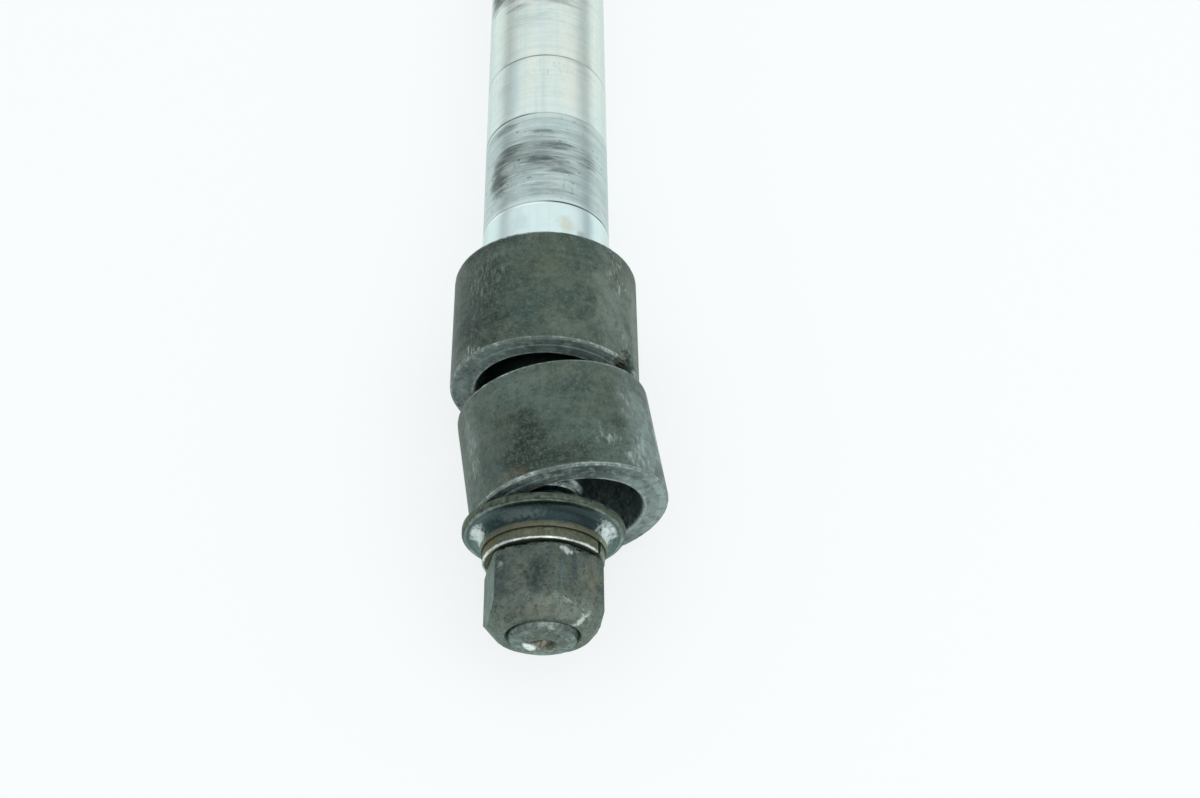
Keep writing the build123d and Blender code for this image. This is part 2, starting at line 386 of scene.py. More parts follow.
head_reach = HEAD_ACROSS_FLATS / sqrt(3)
head = hexagon(head_end_y, FLANGE_THICKNESS - HEAD_SINK, HEAD_ACROSS_FLATS, HEAD_CLOCKING,
               HEAD_ACROSS_FLATS / 2, HEAD_CONE_ANGLE, head_reach, 0, HEAD_ROUNDING, HEAD_ROUNDING)
head_face = lathe([(HEAD_ACROSS_FLATS / 2 - FACE_INSET - HEAD_ROUNDING, head_end_y, 0),
                   (CENTRE_HOLE_RADIUS, head_end_y, HOLE_ROUNDING),
                   (0, head_end_y - CENTRE_HOLE_DEPTH, 0)],
                  spacing=1.5, closed=False, steps=HEXAGON_STEPS)
print("dome", round(stud_end_y - dome_tip_y, 2), "mm high, head out to y", round(head_end_y, 2))

# %% [markdown]
# Open shells are bridged where their round ends face each other, so the shaft becomes one closed skin. The
# head is closed by itself and sinks a little into the flange.

# %% Join the shaft
shaft = join_meshes(plain, stud, dome)
bridge_at(shaft, thread_far_y, reach=0.1)
bridge_at(shaft, stud_end_y, reach=0.1)
head = join_meshes(head, head_face)
bridge_at(head, head_end_y, reach=0.02)
base_ring = [edge for edge in head.edges if edge.is_boundary]
bmesh.ops.holes_fill(head, edges=base_ring)
shaft = join_meshes(shaft, head)
bmesh.ops.recalc_face_normals(shaft, faces=shaft.faces)
print("shaft has", sum(edge.is_boundary for edge in shaft.edges), "open edges")

# %% [markdown]
# ## Knocks and wear
# Steel leaves the lathe with perfect edges, and years of use spoil them. A knock presses one ragged hollow
# into an edge, and the bright worn line ends there. Use moves the points on the worn edges inwards a
# little, by a smooth noise, so that no edge stays quite even.

# %% Knocks and wear
DENT_STEEPNESS = 0.6
DENT_GRAIN = 2.3
DENT_LEAST, DENT_RAGGED = 0.7, 0.6
DENT_BARE_SHARE = 4
LEAST_WORN_TO_MOVE = 0.3


def dent(bm, centre, reach, depth, push):
    """Press a hollow into the points within reach of a centre, all in millimetres. Nothing is worn in it."""
    middle = Vector(centre) * MM
    worn = bm.verts.layers.float["worn"]
    for vert in bm.verts:
        near = 1 - (vert.co - middle).length / (reach * MM)
        if near > 0:
            rough = DENT_LEAST + DENT_RAGGED * noise.noise(vert.co / MM * DENT_GRAIN)
            vert.co += Vector(push).normalized() * depth * MM * near ** DENT_STEEPNESS * rough
            vert[worn] *= max(0, 1 - near * DENT_BARE_SHARE)


def roughen_edges(bm, depth, grain):
    """Move the points on worn edges a little, by a smooth noise, so that the edge looks used."""
    worn = bm.verts.layers.float["worn"]
    bm.normal_update()
    for vert in bm.verts:
        if vert[worn] > LEAST_WORN_TO_MOVE:
            hollow = min(0, noise.noise(vert.co / MM * grain)) * depth * MM
            vert.co += vert.normal * hollow * vert[worn]


# %% [markdown]
# ## The two collars
# Both collars are short tubes with chamfered rims. The inner one is straight on the end of the journal.
# The outer one has dropped on to the neck and leans. It is turned straight about its own centre and then
# tipped about the point where its joint is. Its joint rocks it as far the other way, so the angle it
# leans is half of the joint's range. A hard knock has left one deep nick in the inner collar's near rim, and
# use has made all the rims a little uneven.

# %% Collars
COLLAR_RADIUS = 17.5
COLLAR_BORE_RADIUS = 12.75
COLLAR_CHAMFER = 0.3
LAND_RADIUS = 15.4
LAND_HEIGHT = 0.2
COLLAR_BORE_CHAMFER = 0.4
OUTER_COLLAR_LENGTH = 21.6
LEAN_CENTRE_TO_COLLAR = 10.0
COLLAR_SPACING = 0.5
COLLAR_STEPS = 216
NICK_ROUND = 60.0
NICK_REACH = 2.8
NICK_DEPTH = 2.4
NICK_FROM_FACE = 0.4
NICK_ALONG_SHARE = 1.1

joints = {joint["name"]: joint for joint in frame["joints"]}
rock = joints["outer_collar_rock"]
lean = radians(rock["range_deg"][1] / 2)
lean_centre_y = rock["pos_m"][1] / MM


def collar(near_y, far_y):
    """A straight collar between two faces, in millimetres along the axle."""
    rim_y = near_y + LAND_HEIGHT
    rim_radius = COLLAR_RADIUS - COLLAR_CHAMFER
    mouth_radius = COLLAR_BORE_RADIUS + COLLAR_BORE_CHAMFER
    section = [(mouth_radius, near_y, 0.09), (LAND_RADIUS, near_y, 0.06), (LAND_RADIUS, rim_y, 0.05),
               (rim_radius, rim_y, 0.12), (COLLAR_RADIUS, rim_y + COLLAR_CHAMFER, 0.15),
               (COLLAR_RADIUS, far_y - COLLAR_CHAMFER, 0.15), (rim_radius, far_y, 0.12),
               (mouth_radius, far_y, 0.09), (COLLAR_BORE_RADIUS, far_y - COLLAR_BORE_CHAMFER, 0.09),
               (COLLAR_BORE_RADIUS, near_y + COLLAR_BORE_CHAMFER, 0.09)]
    return lathe(section, spacing=COLLAR_SPACING, steps=COLLAR_STEPS)


inner_near_y, inner_far_y = span("inner_collar")
inner = collar(inner_near_y, inner_far_y)
outer = collar(-LEAN_CENTRE_TO_COLLAR - OUTER_COLLAR_LENGTH, -LEAN_CENTRE_TO_COLLAR)
nick_round = radians(NICK_ROUND)
nick_place = (COLLAR_RADIUS * sin(nick_round), inner_near_y + NICK_FROM_FACE,
              COLLAR_RADIUS * cos(nick_round))
dent(inner, nick_place, NICK_REACH, NICK_DEPTH, (-sin(nick_round), NICK_ALONG_SHARE, -cos(nick_round)))
for tube in (inner, outer):
    roughen_edges(tube, depth=0.12, grain=0.9)
tip_over = Matrix.Translation(AXLE_LINE * lean_centre_y * MM) @ Matrix.Rotation(lean, 4, "Z")
bmesh.ops.transform(outer, matrix=tip_over, verts=outer.verts)
print("lean", round(degrees(lean), 2), "degrees about y", round(lean_centre_y, 2))

# %% [markdown]
# ## The stepped washer
# The stepped washer has a thin rim, a hollow cove and a raised hub. The cove is a quarter circle of points.
# A low crust of dirt stands on the hub's edge, just outside the spring washer, and hides the narrow gap that
# the spring's rise leaves.

# %% Stepped washer
WASHER_BORE_RADIUS = 6.4
RIM_RADIUS = 14.2
RIM_THICKNESS = 1.35
HUB_RADIUS = 11.0
HUB_CHAMFER = 0.15
CRUST_HEIGHT = 0.55
CRUST_INNER_RADIUS = 10.6
COVE_RADIUS = 2.25
COVE_STEP_ANGLE = 9
RIM_CHAMFER_LENGTH, RIM_CHAMFER_DEPTH = 0.35, 0.6
CRUST_SET_BACK = 0.06

washer_near_y, washer_far_y = span("stepped_washer")
rim_near_y = washer_far_y - RIM_THICKNESS
cove = []
for turn in range(0, 91, COVE_STEP_ANGLE):
    inwards, up = 1 - sin(radians(turn)), 1 - cos(radians(turn))
    cove.append((HUB_RADIUS + COVE_RADIUS * inwards, rim_near_y - COVE_RADIUS * up, 0))
washer = lathe([(WASHER_BORE_RADIUS, washer_far_y, 0.1), (RIM_RADIUS, washer_far_y, 0.1),
                (RIM_RADIUS, rim_near_y + RIM_CHAMFER_LENGTH, 0.1),
                (RIM_RADIUS - RIM_CHAMFER_DEPTH, rim_near_y, 0.12)] + cove
               + [(HUB_RADIUS, washer_near_y + HUB_CHAMFER, 0.05),
                  (HUB_RADIUS - CRUST_SET_BACK, washer_near_y - CRUST_HEIGHT, 0.11),
                  (CRUST_INNER_RADIUS, washer_near_y - CRUST_HEIGHT, 0.03),
                  (CRUST_INNER_RADIUS, washer_near_y, 0), (WASHER_BORE_RADIUS, washer_near_y, 0.1)],
               spacing=0.6)
roughen_edges(washer, depth=0.1, grain=1.1)
print("stepped washer from y", round(washer_far_y, 2), "to", round(washer_near_y, 2))

# %% [markdown]
# ## The spring washer
# The spring washer is a square bar coiled left-handed through almost a full turn. The same lathe turns it,
# moving along the axle as it goes, and then caps the two cut ends.

# %% Spring washer
SPRING_INNER_RADIUS = 6.45
SPRING_OUTER_RADIUS = 10.55
SPRING_THICKNESS = 2.2
SPRING_GAP_WIDTH = 0.8
SPRING_GAP_ANGLE = 24.5

spring_near_y, spring_far_y = span("spring_washer")
spring_rise = spring_far_y - spring_near_y - SPRING_THICKNESS
spring_gap = degrees(SPRING_GAP_WIDTH * 2 / (SPRING_INNER_RADIUS + SPRING_OUTER_RADIUS))
spring = lathe([(SPRING_INNER_RADIUS, spring_far_y, 0.08), (SPRING_OUTER_RADIUS, spring_far_y, 0.09),
                (SPRING_OUTER_RADIUS, spring_far_y - SPRING_THICKNESS, 0.22),
                (SPRING_INNER_RADIUS, spring_far_y - SPRING_THICKNESS, 0.15)], spacing=0.4,
               turn=360 - spring_gap, start=SPRING_GAP_ANGLE - spring_gap / 2, advance=-spring_rise)
roughen_edges(spring, depth=0.1, grain=1.3)
print("spring washer rises", round(spring_rise, 2), "over", round(360 - spring_gap, 1), "degrees")

# %% [markdown]
# ## The nut
# The nut is a hexagon shell with a threaded tube through it. The tube is the stud's own thread, a little
# larger, from the same starting place, so that the two threads mesh at rest and at every turn of the nut.

# %% Nut
NUT_ACROSS_FLATS = 18.7
NUT_CLOCKING = 16.5
NUT_BORE_RADIUS = 6.05
NUT_RIDGE_RADIUS = 5.75
NUT_COUNTERSINK = 0.4
NUT_FAR_FACE_RADIUS = 9.6
NUT_FAR_ANGLE = 30
NUT_NEAR_FACE_RADIUS = 8.0
NUT_NEAR_ANGLE = 51
NUT_CORNER_ROUNDING = 0.7
NUT_CONE_ROUNDING = 0.4

nut_near_y, nut_far_y = span("axle_nut")


def bore_radius(y, out):
    """Radius of the nut's thread at y, with a countersink at each end."""
    mouth = NUT_BORE_RADIUS + NUT_COUNTERSINK
    ridge = NUT_BORE_RADIUS - (NUT_BORE_RADIUS - NUT_RIDGE_RADIUS) * (1 - out)
    return max(ridge, mouth - (nut_far_y - y), mouth - (y - nut_near_y))


nut = hexagon(nut_far_y, nut_near_y, NUT_ACROSS_FLATS, NUT_CLOCKING, NUT_FAR_FACE_RADIUS, NUT_FAR_ANGLE,
              NUT_NEAR_FACE_RADIUS, NUT_NEAR_ANGLE, NUT_CORNER_ROUNDING, NUT_CONE_ROUNDING)
bore = thread(nut_far_y, nut_near_y, stud_end_y, bore_radius)
nut = join_meshes(nut, bore)
bridge_at(nut, nut_far_y, reach=0.02)
bridge_at(nut, nut_near_y, reach=0.02)
bmesh.ops.recalc_face_normals(nut, faces=nut.faces)
roughen_edges(nut, depth=0.15, grain=0.8)
print("nut has", sum(edge.is_boundary for edge in nut.edges), "open edges")

# %% [markdown]
# ## Finishes
# Each finish is a Principled shader whose colour and roughness come from masks. A small helper adds a node
# and fills its sockets: a value is set, and another node's output is linked.

# %% Node helpers
def add_node(tree, kind, inputs=None, **settings):
    """Add a node, set its settings, and fill its sockets by name or number."""
    made = tree.nodes.new(kind)
    for setting, value in settings.items():
        setattr(made, setting, value)
    for socket, value in (inputs or {}).items():
        if isinstance(value, bpy.types.NodeSocket):
            tree.links.new(value, made.inputs[socket])
        else:
            made.inputs[socket].default_value = value
    return made


def calculate(tree, operation, *values, clamp=False):
    """One step of arithmetic on numbers or sockets."""
    made = add_node(tree, "ShaderNodeMath", dict(enumerate(values)), operation=operation, use_clamp=clamp)
    return made.outputs[0]


def blend_colours(tree, factor, first, second, blend_type="MIX"):
    """Mix two colours by a mask."""
    made = add_node(tree, "ShaderNodeMix", {0: factor, 6: first, 7: second}, data_type="RGBA",
                    blend_type=blend_type)
    return made.outputs[2]


def blend_values(tree, factor, first, second):
    """Mix two numbers by a mask."""
    return add_node(tree, "ShaderNodeMix", {0: factor, 2: first, 3: second}, data_type="FLOAT").outputs[0]


def ramp(tree, value, low, high, to_low=0.0, to_high=1.0):
    """Map the numbers from low to high smoothly on to another range, and stay inside it."""
    made = add_node(tree, "ShaderNodeMapRange", {0: value, 1: low, 2: high, 3: to_low, 4: to_high},
                    interpolation_type="SMOOTHSTEP")
    return made.outputs[0]


def new_group(name, inputs, outputs):
    """A node group with named sockets. Returns the group, its inputs and its outputs."""
    group = bpy.data.node_groups.new(name, "ShaderNodeTree")
    for socket_name, kind, value in inputs:
        socket = group.interface.new_socket(socket_name, in_out="INPUT", socket_type=kind)
        if value is not None:
            socket.default_value = value
    for socket_name, kind in outputs:
        group.interface.new_socket(socket_name, in_out="OUTPUT", socket_type=kind)
    print("group", name, "takes", ", ".join(row[0] for row in inputs))
    return group, group.nodes.new("NodeGroupInput").outputs, group.nodes.new("NodeGroupOutput").inputs


FLOAT, VECTOR = "NodeSocketFloat", "NodeSocketVector"

# %% [markdown]
# Marks on a turned piece are told by two numbers: how far along the axle, in millimetres, and how far
# round it, in degrees from the top with the right-hand side positive. The first group works them out. Its
# Rings output holds the radius and the length, and only a little of the way round. A cloud that reads it
# is drawn out into the rings that a cutting tool leaves on a turned face.

# %% Place on the axle
RING_DRIFT = 0.05
place_group, into, out = new_group("place_on_axle", [("Vector", VECTOR, None)],
                                   [("Place", VECTOR), ("Along", FLOAT), ("Round", FLOAT), ("Radius", FLOAT),
                                    ("Rings", VECTOR)])
tree = place_group
place = add_node(tree, "ShaderNodeVectorMath", {0: into["Vector"], "Scale": 1 / MM},
                 operation="SCALE").outputs[0]
parts = add_node(tree, "ShaderNodeSeparateXYZ", {0: place}).outputs
round_angle = calculate(tree, "ARCTAN2", parts[0], parts[2])
tree.links.new(place, out["Place"])
tree.links.new(parts[1], out["Along"])
tree.links.new(calculate(tree, "MULTIPLY", round_angle, degrees(1)), out["Round"])
radius_squared = calculate(tree, "ADD", calculate(tree, "POWER", parts[0], 2.0),
                           calculate(tree, "POWER", parts[2], 2.0))
radius = calculate(tree, "SQRT", radius_squared)
tree.links.new(radius, out["Radius"])
drift = calculate(tree, "MULTIPLY", parts[0], RING_DRIFT)
rings = add_node(tree, "ShaderNodeCombineXYZ", {0: radius, 1: parts[1], 2: drift}).outputs[0]
tree.links.new(rings, out["Rings"])

# %% [markdown]
# A band is a mask that is 1 near a centre and fades at its sides. Patches are soft clouds. Stretching them
# along one direction gives lathe lines or lengthwise scratches with the same group.

# %% Bands and patches
band_group, into, out = new_group(
    "band", [("Value", FLOAT, 0), ("Centre", FLOAT, 0), ("Half width", FLOAT, 1), ("Fade", FLOAT, 1)],
    [("Mask", FLOAT)])
tree = band_group
distance = calculate(tree, "ABSOLUTE", calculate(tree, "SUBTRACT", into["Value"], into["Centre"]))
outer_side = calculate(tree, "ADD", into["Half width"], into["Fade"])
tree.links.new(ramp(tree, distance, outer_side, into["Half width"]), out["Mask"])

CLOUD_TOP, CLOUD_DEPTH = 0.78, 0.56
CLOUD_DETAIL, SPOT_DETAIL, CLOUD_ROUGHNESS = 5, 6.0, 0.6
patch_group, into, out = new_group(
    "patches", [("Place", VECTOR, None), ("Stretch", VECTOR, (1, 1, 1)), ("Size", FLOAT, 8),
                ("Cover", FLOAT, 0.5), ("Fade", FLOAT, 0.12), ("Seed", FLOAT, 0)],
    [("Mask", FLOAT)])
tree = patch_group


def cloud_at(tree, into, detail):
    """A noise texture that is stretched and sized by a group's own sockets."""
    stretched = add_node(tree, "ShaderNodeVectorMath", {0: into["Place"], 1: into["Stretch"]},
                         operation="MULTIPLY").outputs[0]
    scale = calculate(tree, "DIVIDE", 1.0, into["Size"])
    sockets = {"Vector": stretched, "W": into["Seed"], "Scale": scale, "Roughness": CLOUD_ROUGHNESS,
               "Detail": detail}
    return add_node(tree, "ShaderNodeTexNoise", sockets, noise_dimensions="4D").outputs["Fac"]


cloud = cloud_at(tree, into, CLOUD_DETAIL)
level = calculate(tree, "SUBTRACT", CLOUD_TOP, calculate(tree, "MULTIPLY", into["Cover"], CLOUD_DEPTH))
tree.links.new(ramp(tree, cloud, calculate(tree, "SUBTRACT", level, into["Fade"]),
                    calculate(tree, "ADD", level, into["Fade"])), out["Mask"])

# %% [markdown]
# A spot is a mark at one place: an oval, given by its middle and its two reaches, with an outline that a
# cloud makes ragged. Handled steel is full of them, such as a smear of grease, a scuff or a bit of rust.

# %% Spots
SPOT_SOFTNESS = 0.8
RAGGED_PUSH = 4.0
spot_group, into, out = new_group(
    "spot", [("Place", VECTOR, None), ("Along", FLOAT, 0), ("Round", FLOAT, 0), ("At along", FLOAT, 0),
             ("At round", FLOAT, 0), ("Along reach", FLOAT, 1), ("Round reach", FLOAT, 10),
             ("Ragged", FLOAT, 0.5), ("Stretch", VECTOR, (1, 1, 1)), ("Size", FLOAT, 2), ("Seed", FLOAT, 0)],
    [("Mask", FLOAT)])
tree = spot_group
across = [calculate(tree, "DIVIDE", calculate(tree, "SUBTRACT", into[value], into["At " + value.lower()]),
                    into[value + " reach"]) for value in ("Along", "Round")]
squared = [calculate(tree, "MULTIPLY", share, share) for share in across]
distance = calculate(tree, "SQRT", calculate(tree, "ADD", *squared))
push = calculate(tree, "MULTIPLY", calculate(tree, "SUBTRACT", cloud_at(tree, into, SPOT_DETAIL), 0.5),
                 calculate(tree, "MULTIPLY", into["Ragged"], RAGGED_PUSH))
level = calculate(tree, "ADD", calculate(tree, "SUBTRACT", 1.0, distance), push)
tree.links.new(ramp(tree, level, 0.0, SPOT_SOFTNESS), out["Mask"])

# %% [markdown]
# Edge wear reads the number worn that the lathe left on each point. Fine chips break the bright line, and a
# slow cloud lets it come and go along the edge, because nothing is rubbed evenly all the way round. Each of
# the two is told as its scale and its share.

# %% Worn edges
CHIPS_AND_RUBS = ((1.6, 0.7), (0.16, 1.1))
CHIP_DETAIL, CHIP_ROUGHNESS = 4.0, 0.65
WORN_TOP, WORN_FADE = 1.25, 0.3
worn_group, into, out = new_group("worn_edge", [("Place", VECTOR, None), ("Amount", FLOAT, 0.6)],
                                  [("Mask", FLOAT)])
tree = worn_group
level = add_node(tree, "ShaderNodeAttribute", attribute_name="worn").outputs["Fac"]
for scale, share in CHIPS_AND_RUBS:
    chips = add_node(tree, "ShaderNodeTexNoise",
                     {"Vector": into["Place"], "Scale": scale, "Detail": CHIP_DETAIL,
                      "Roughness": CHIP_ROUGHNESS}).outputs["Fac"]
    level = calculate(tree, "ADD", level, calculate(tree, "MULTIPLY_ADD", chips, share, -share / 2))
least = calculate(tree, "SUBTRACT", WORN_TOP, into["Amount"])
tree.links.new(ramp(tree, level, least, calculate(tree, "ADD", least, WORN_FADE)), out["Mask"])

# %% [markdown]
# A finish object keeps the tree, the place on the axle and the colour and roughness so far. Each mark is
# then one line: it covers the colour and the roughness where its mask is.

# %% Finish builder
EDGE_TINT = (0.82, 0.98, 0.92, 1)
GRAIN_SCALE, GRAIN_DETAIL, GRAIN_ROUGHNESS = 2.2, 5.0, 0.65


class Finish:
    """A Principled material that marks are laid on, one after the other."""

    def __init__(self, name, colour, roughness, metallic=1.0, tip=None, edge_tint=EDGE_TINT):
        self.material = bpy.data.materials.new(name)
        self.material.use_nodes = True
        self.tree = self.material.node_tree
        self.shader = self.tree.nodes["Principled BSDF"]
        self.shader.inputs["Metallic"].default_value = metallic
        self.shader.inputs["Specular Tint"].default_value = edge_tint
        coordinates = add_node(self.tree, "ShaderNodeTexCoord").outputs["Object"]
        if tip:
            back_to, turn = tip
            turned_back = {"Vector": coordinates, "Location": back_to, "Rotation": (0, 0, turn)}
            coordinates = add_node(self.tree, "ShaderNodeMapping", turned_back).outputs[0]
        located = self.group(place_group, Vector=coordinates).outputs
        self.place, self.along, self.round, self.radius, self.rings = (
            located[name] for name in ("Place", "Along", "Round", "Radius", "Rings"))
        self.colour = (*colour, 1)
        self.roughness = roughness
        self.height = 0.0

    def group(self, group, **inputs):
        """Place a group. A space in a socket's name is written as an underscore."""
        named = {name.replace("_", " "): value for name, value in inputs.items()}
        return add_node(self.tree, "ShaderNodeGroup", named, node_tree=group)

    def zone(self, **bands):
        """The surface inside the bands along, round or radius. Each is a centre, a reach and a fade."""
        masks = []
        for name, (centre, half_width, fade) in bands.items():
            band = self.group(band_group, Value=getattr(self, name), Centre=centre, Half_width=half_width,
                              Fade=fade)
            masks.append(band.outputs[0])
        return self.both(*masks)

    def patches(self, rings=False, **settings):
        """Soft clouds, or with rings the same clouds drawn out round the axle."""
        place = self.rings if rings else self.place
        return self.group(patch_group, Place=place, **settings).outputs[0]

    def spot(self, at_along, at_round, along_reach, round_reach, **settings):
        """One oval mark at a place."""
        return self.group(spot_group, Place=self.place, Along=self.along, Round=self.round, At_along=at_along,
                          At_round=at_round, Along_reach=along_reach, Round_reach=round_reach,
                          **settings).outputs[0]

    def worn(self, amount):
        """The worn edges: a larger amount reaches further from them."""
        return self.group(worn_group, Place=self.place, Amount=amount).outputs[0]

    def both(self, *masks):
        """The masks multiplied together. A missing one is passed over."""
        masks = [mask for mask in masks if mask]
        whole = masks[0]
        for mask in masks[1:]:
            whole = calculate(self.tree, "MULTIPLY", whole, mask)
        return whole

    def cover(self, mask, colour=None, roughness=None, strength=1.0, height=0.0):
        """Lay a colour, a roughness and a height on the surface where the mask is."""
        mask = calculate(self.tree, "MULTIPLY", mask, strength, clamp=True)
        if colour:
            self.colour = blend_colours(self.tree, mask, self.colour, (*colour, 1))
        if roughness is not None:
            self.roughness = blend_values(self.tree, mask, self.roughness, roughness)
        if height:
            self.height = calculate(self.tree, "MULTIPLY_ADD", mask, height, self.height)

    def clouds(self, rows, over=None, rings=False, **settings):
        """Lay clouds: size, cover, fade, colour, roughness and strength for each, and for some a height."""
        for seed, (size, cover, fade, *laid) in enumerate(rows, 1):
            mask = self.patches(rings, Size=size, Cover=cover, Fade=fade, Seed=float(seed), **settings)
            self.cover(self.both(mask, over), *laid)

    def spots(self, rows, roughness=None, over=None, **settings):
        """Lay spots: along, round, the reach of both, colour and strength for each."""
        for seed, (along, around, along_reach, round_reach, colour, strength) in enumerate(rows, 10):
            mask = self.spot(along, around, along_reach, round_reach, Seed=float(seed), **settings)
            self.cover(self.both(mask, over), colour, roughness, strength)

    def done(self, grain=0.02):
        """Wire the colour, roughness and relief, in millimetres, into the shader."""
        self.tree.links.new(self.colour, self.shader.inputs["Base Color"])
        self.tree.links.new(self.roughness, self.shader.inputs["Roughness"])
        fine = add_node(self.tree, "ShaderNodeTexNoise",
                        {"Vector": self.place, "Scale": GRAIN_SCALE, "Detail": GRAIN_DETAIL,
                         "Roughness": GRAIN_ROUGHNESS}).outputs["Fac"]
        relief = calculate(self.tree, "MULTIPLY_ADD", fine, grain, self.height)
        bump = add_node(self.tree, "ShaderNodeBump", {"Height": relief, "Distance": MM, "Strength": 1.0})
        self.tree.links.new(bump.outputs[0], self.shader.inputs["Normal"])
        print(self.material.name, len(self.tree.nodes), "nodes")
        return self.material


# %% [markdown]
# ## Journal finish
# The journal is bright ground steel with a cool tint, and a little warmer towards the head. A duller grey
# band down each flank is painted shade. Between the two ring lines nearest the collar a seal has rubbed: the
# zinc is greyer there, with dark smears that run round from the left, fine lines round the shaft, specks and
# short lengthwise scratches. Each ring line is darker over one stretch of its round, and a painted white
# highlight runs beside the line nearest the collar, left of the top.

# %% Journal finish
LATHE_LINES = (0.06, 4.0, 0.06)
LENGTHWISE = (3.0, 0.08, 3.0)
SMEARED = (0.3, 2.2, 0.3)
SCRATCHED = (2.2, 0.45, 2.2)
GREASE, DULL_GREY = (0.06, 0.075, 0.065), (0.52, 0.63, 0.6)
WARM, COOL = (0.82, 0.86, 0.77), (0.58, 0.74, 0.76)
LINE_GREY, LINE_DARK = (0.36, 0.43, 0.42), (0.04, 0.05, 0.045)
RING_DARK_SIDES = zip(RING_LINES, (38.0, -50.0, -10.0), (0.95, 0.9, 0.5))
SOFT_SMEARS = [(-133.5, -49.0, 6.5, 15.0, GREASE, 0.6), (-130.5, -16.0, 5.0, 44.0, GREASE, 0.2),
               (-79.5, -56.0, 6.0, 22.0, GREASE, 0.9), (-84.0, 0.0, 5.0, 56.0, GREASE, 0.16)]
SMEARS = [(-131.0, -8.0, 7.0, 58.0, GREASE, 0.4), (-132.0, -6.0, 1.7, 36.0, GREASE, 0.75),
          (-128.3, 4.0, 1.3, 36.0, GREASE, 0.65), (-124.6, 0.0, 0.9, 24.0, GREASE, 0.65),
          (-134.6, 16.0, 1.0, 12.0, GREASE, 0.6), (-133.5, -46.0, 6.0, 14.0, GREASE, 0.7),
          (-128.5, -34.0, 3.0, 16.0, GREASE, 0.7), (-130.0, 44.0, 3.0, 14.0, GREASE, 0.5),
          (-121.6, -46.0, 1.2, 24.0, GREASE, 0.65), (-139.5, 2.0, 2.0, 30.0, GREASE, 0.3),
          (-83.0, -36.0, 3.0, 18.0, GREASE, 0.5), (-87.5, -28.0, 1.4, 16.0, GREASE, 0.45),
          (-82.0, 6.0, 3.0, 42.0, GREASE, 0.5), (-86.5, 14.0, 1.4, 24.0, GREASE, 0.45),
          (-92.0, -14.0, 3.0, 30.0, GREASE, 0.22), (-110.2, -42.0, 2.6, 12.0, GREASE, 0.15),
          (-103.0, 40.0, 5.0, 14.0, GREASE, 0.12)]
SCRATCHED_PLACES = [(-135.0, -42.0, 6.0, 26.0, GREASE, 0.5), (-138.5, 10.0, 3.5, 40.0, GREASE, 0.35),
                    (-108.0, 4.0, 5.0, 26.0, GREASE, 0.3)]
TINTS = [(-147.2, -22.0, 4.0, 12.0, COOL, 0.7), (-147.0, 42.0, 4.5, 9.0, COOL, 0.7),
         (-148.0, 20.0, 3.0, 12.0, (0.62, 0.62, 0.5), 0.6), (-149.8, 36.0, 1.6, 8.0, (0.42, 0.36, 0.25), 0.6),
         (-140.0, 40.0, 22.0, 6.0, COOL, 0.5), (-112.0, -30.0, 16.0, 8.0, COOL, 0.5),
         (-139.0, -12.0, 4.0, 12.0, COOL, 0.6), (-114.0, 24.0, 9.0, 14.0, WARM, 0.6)]


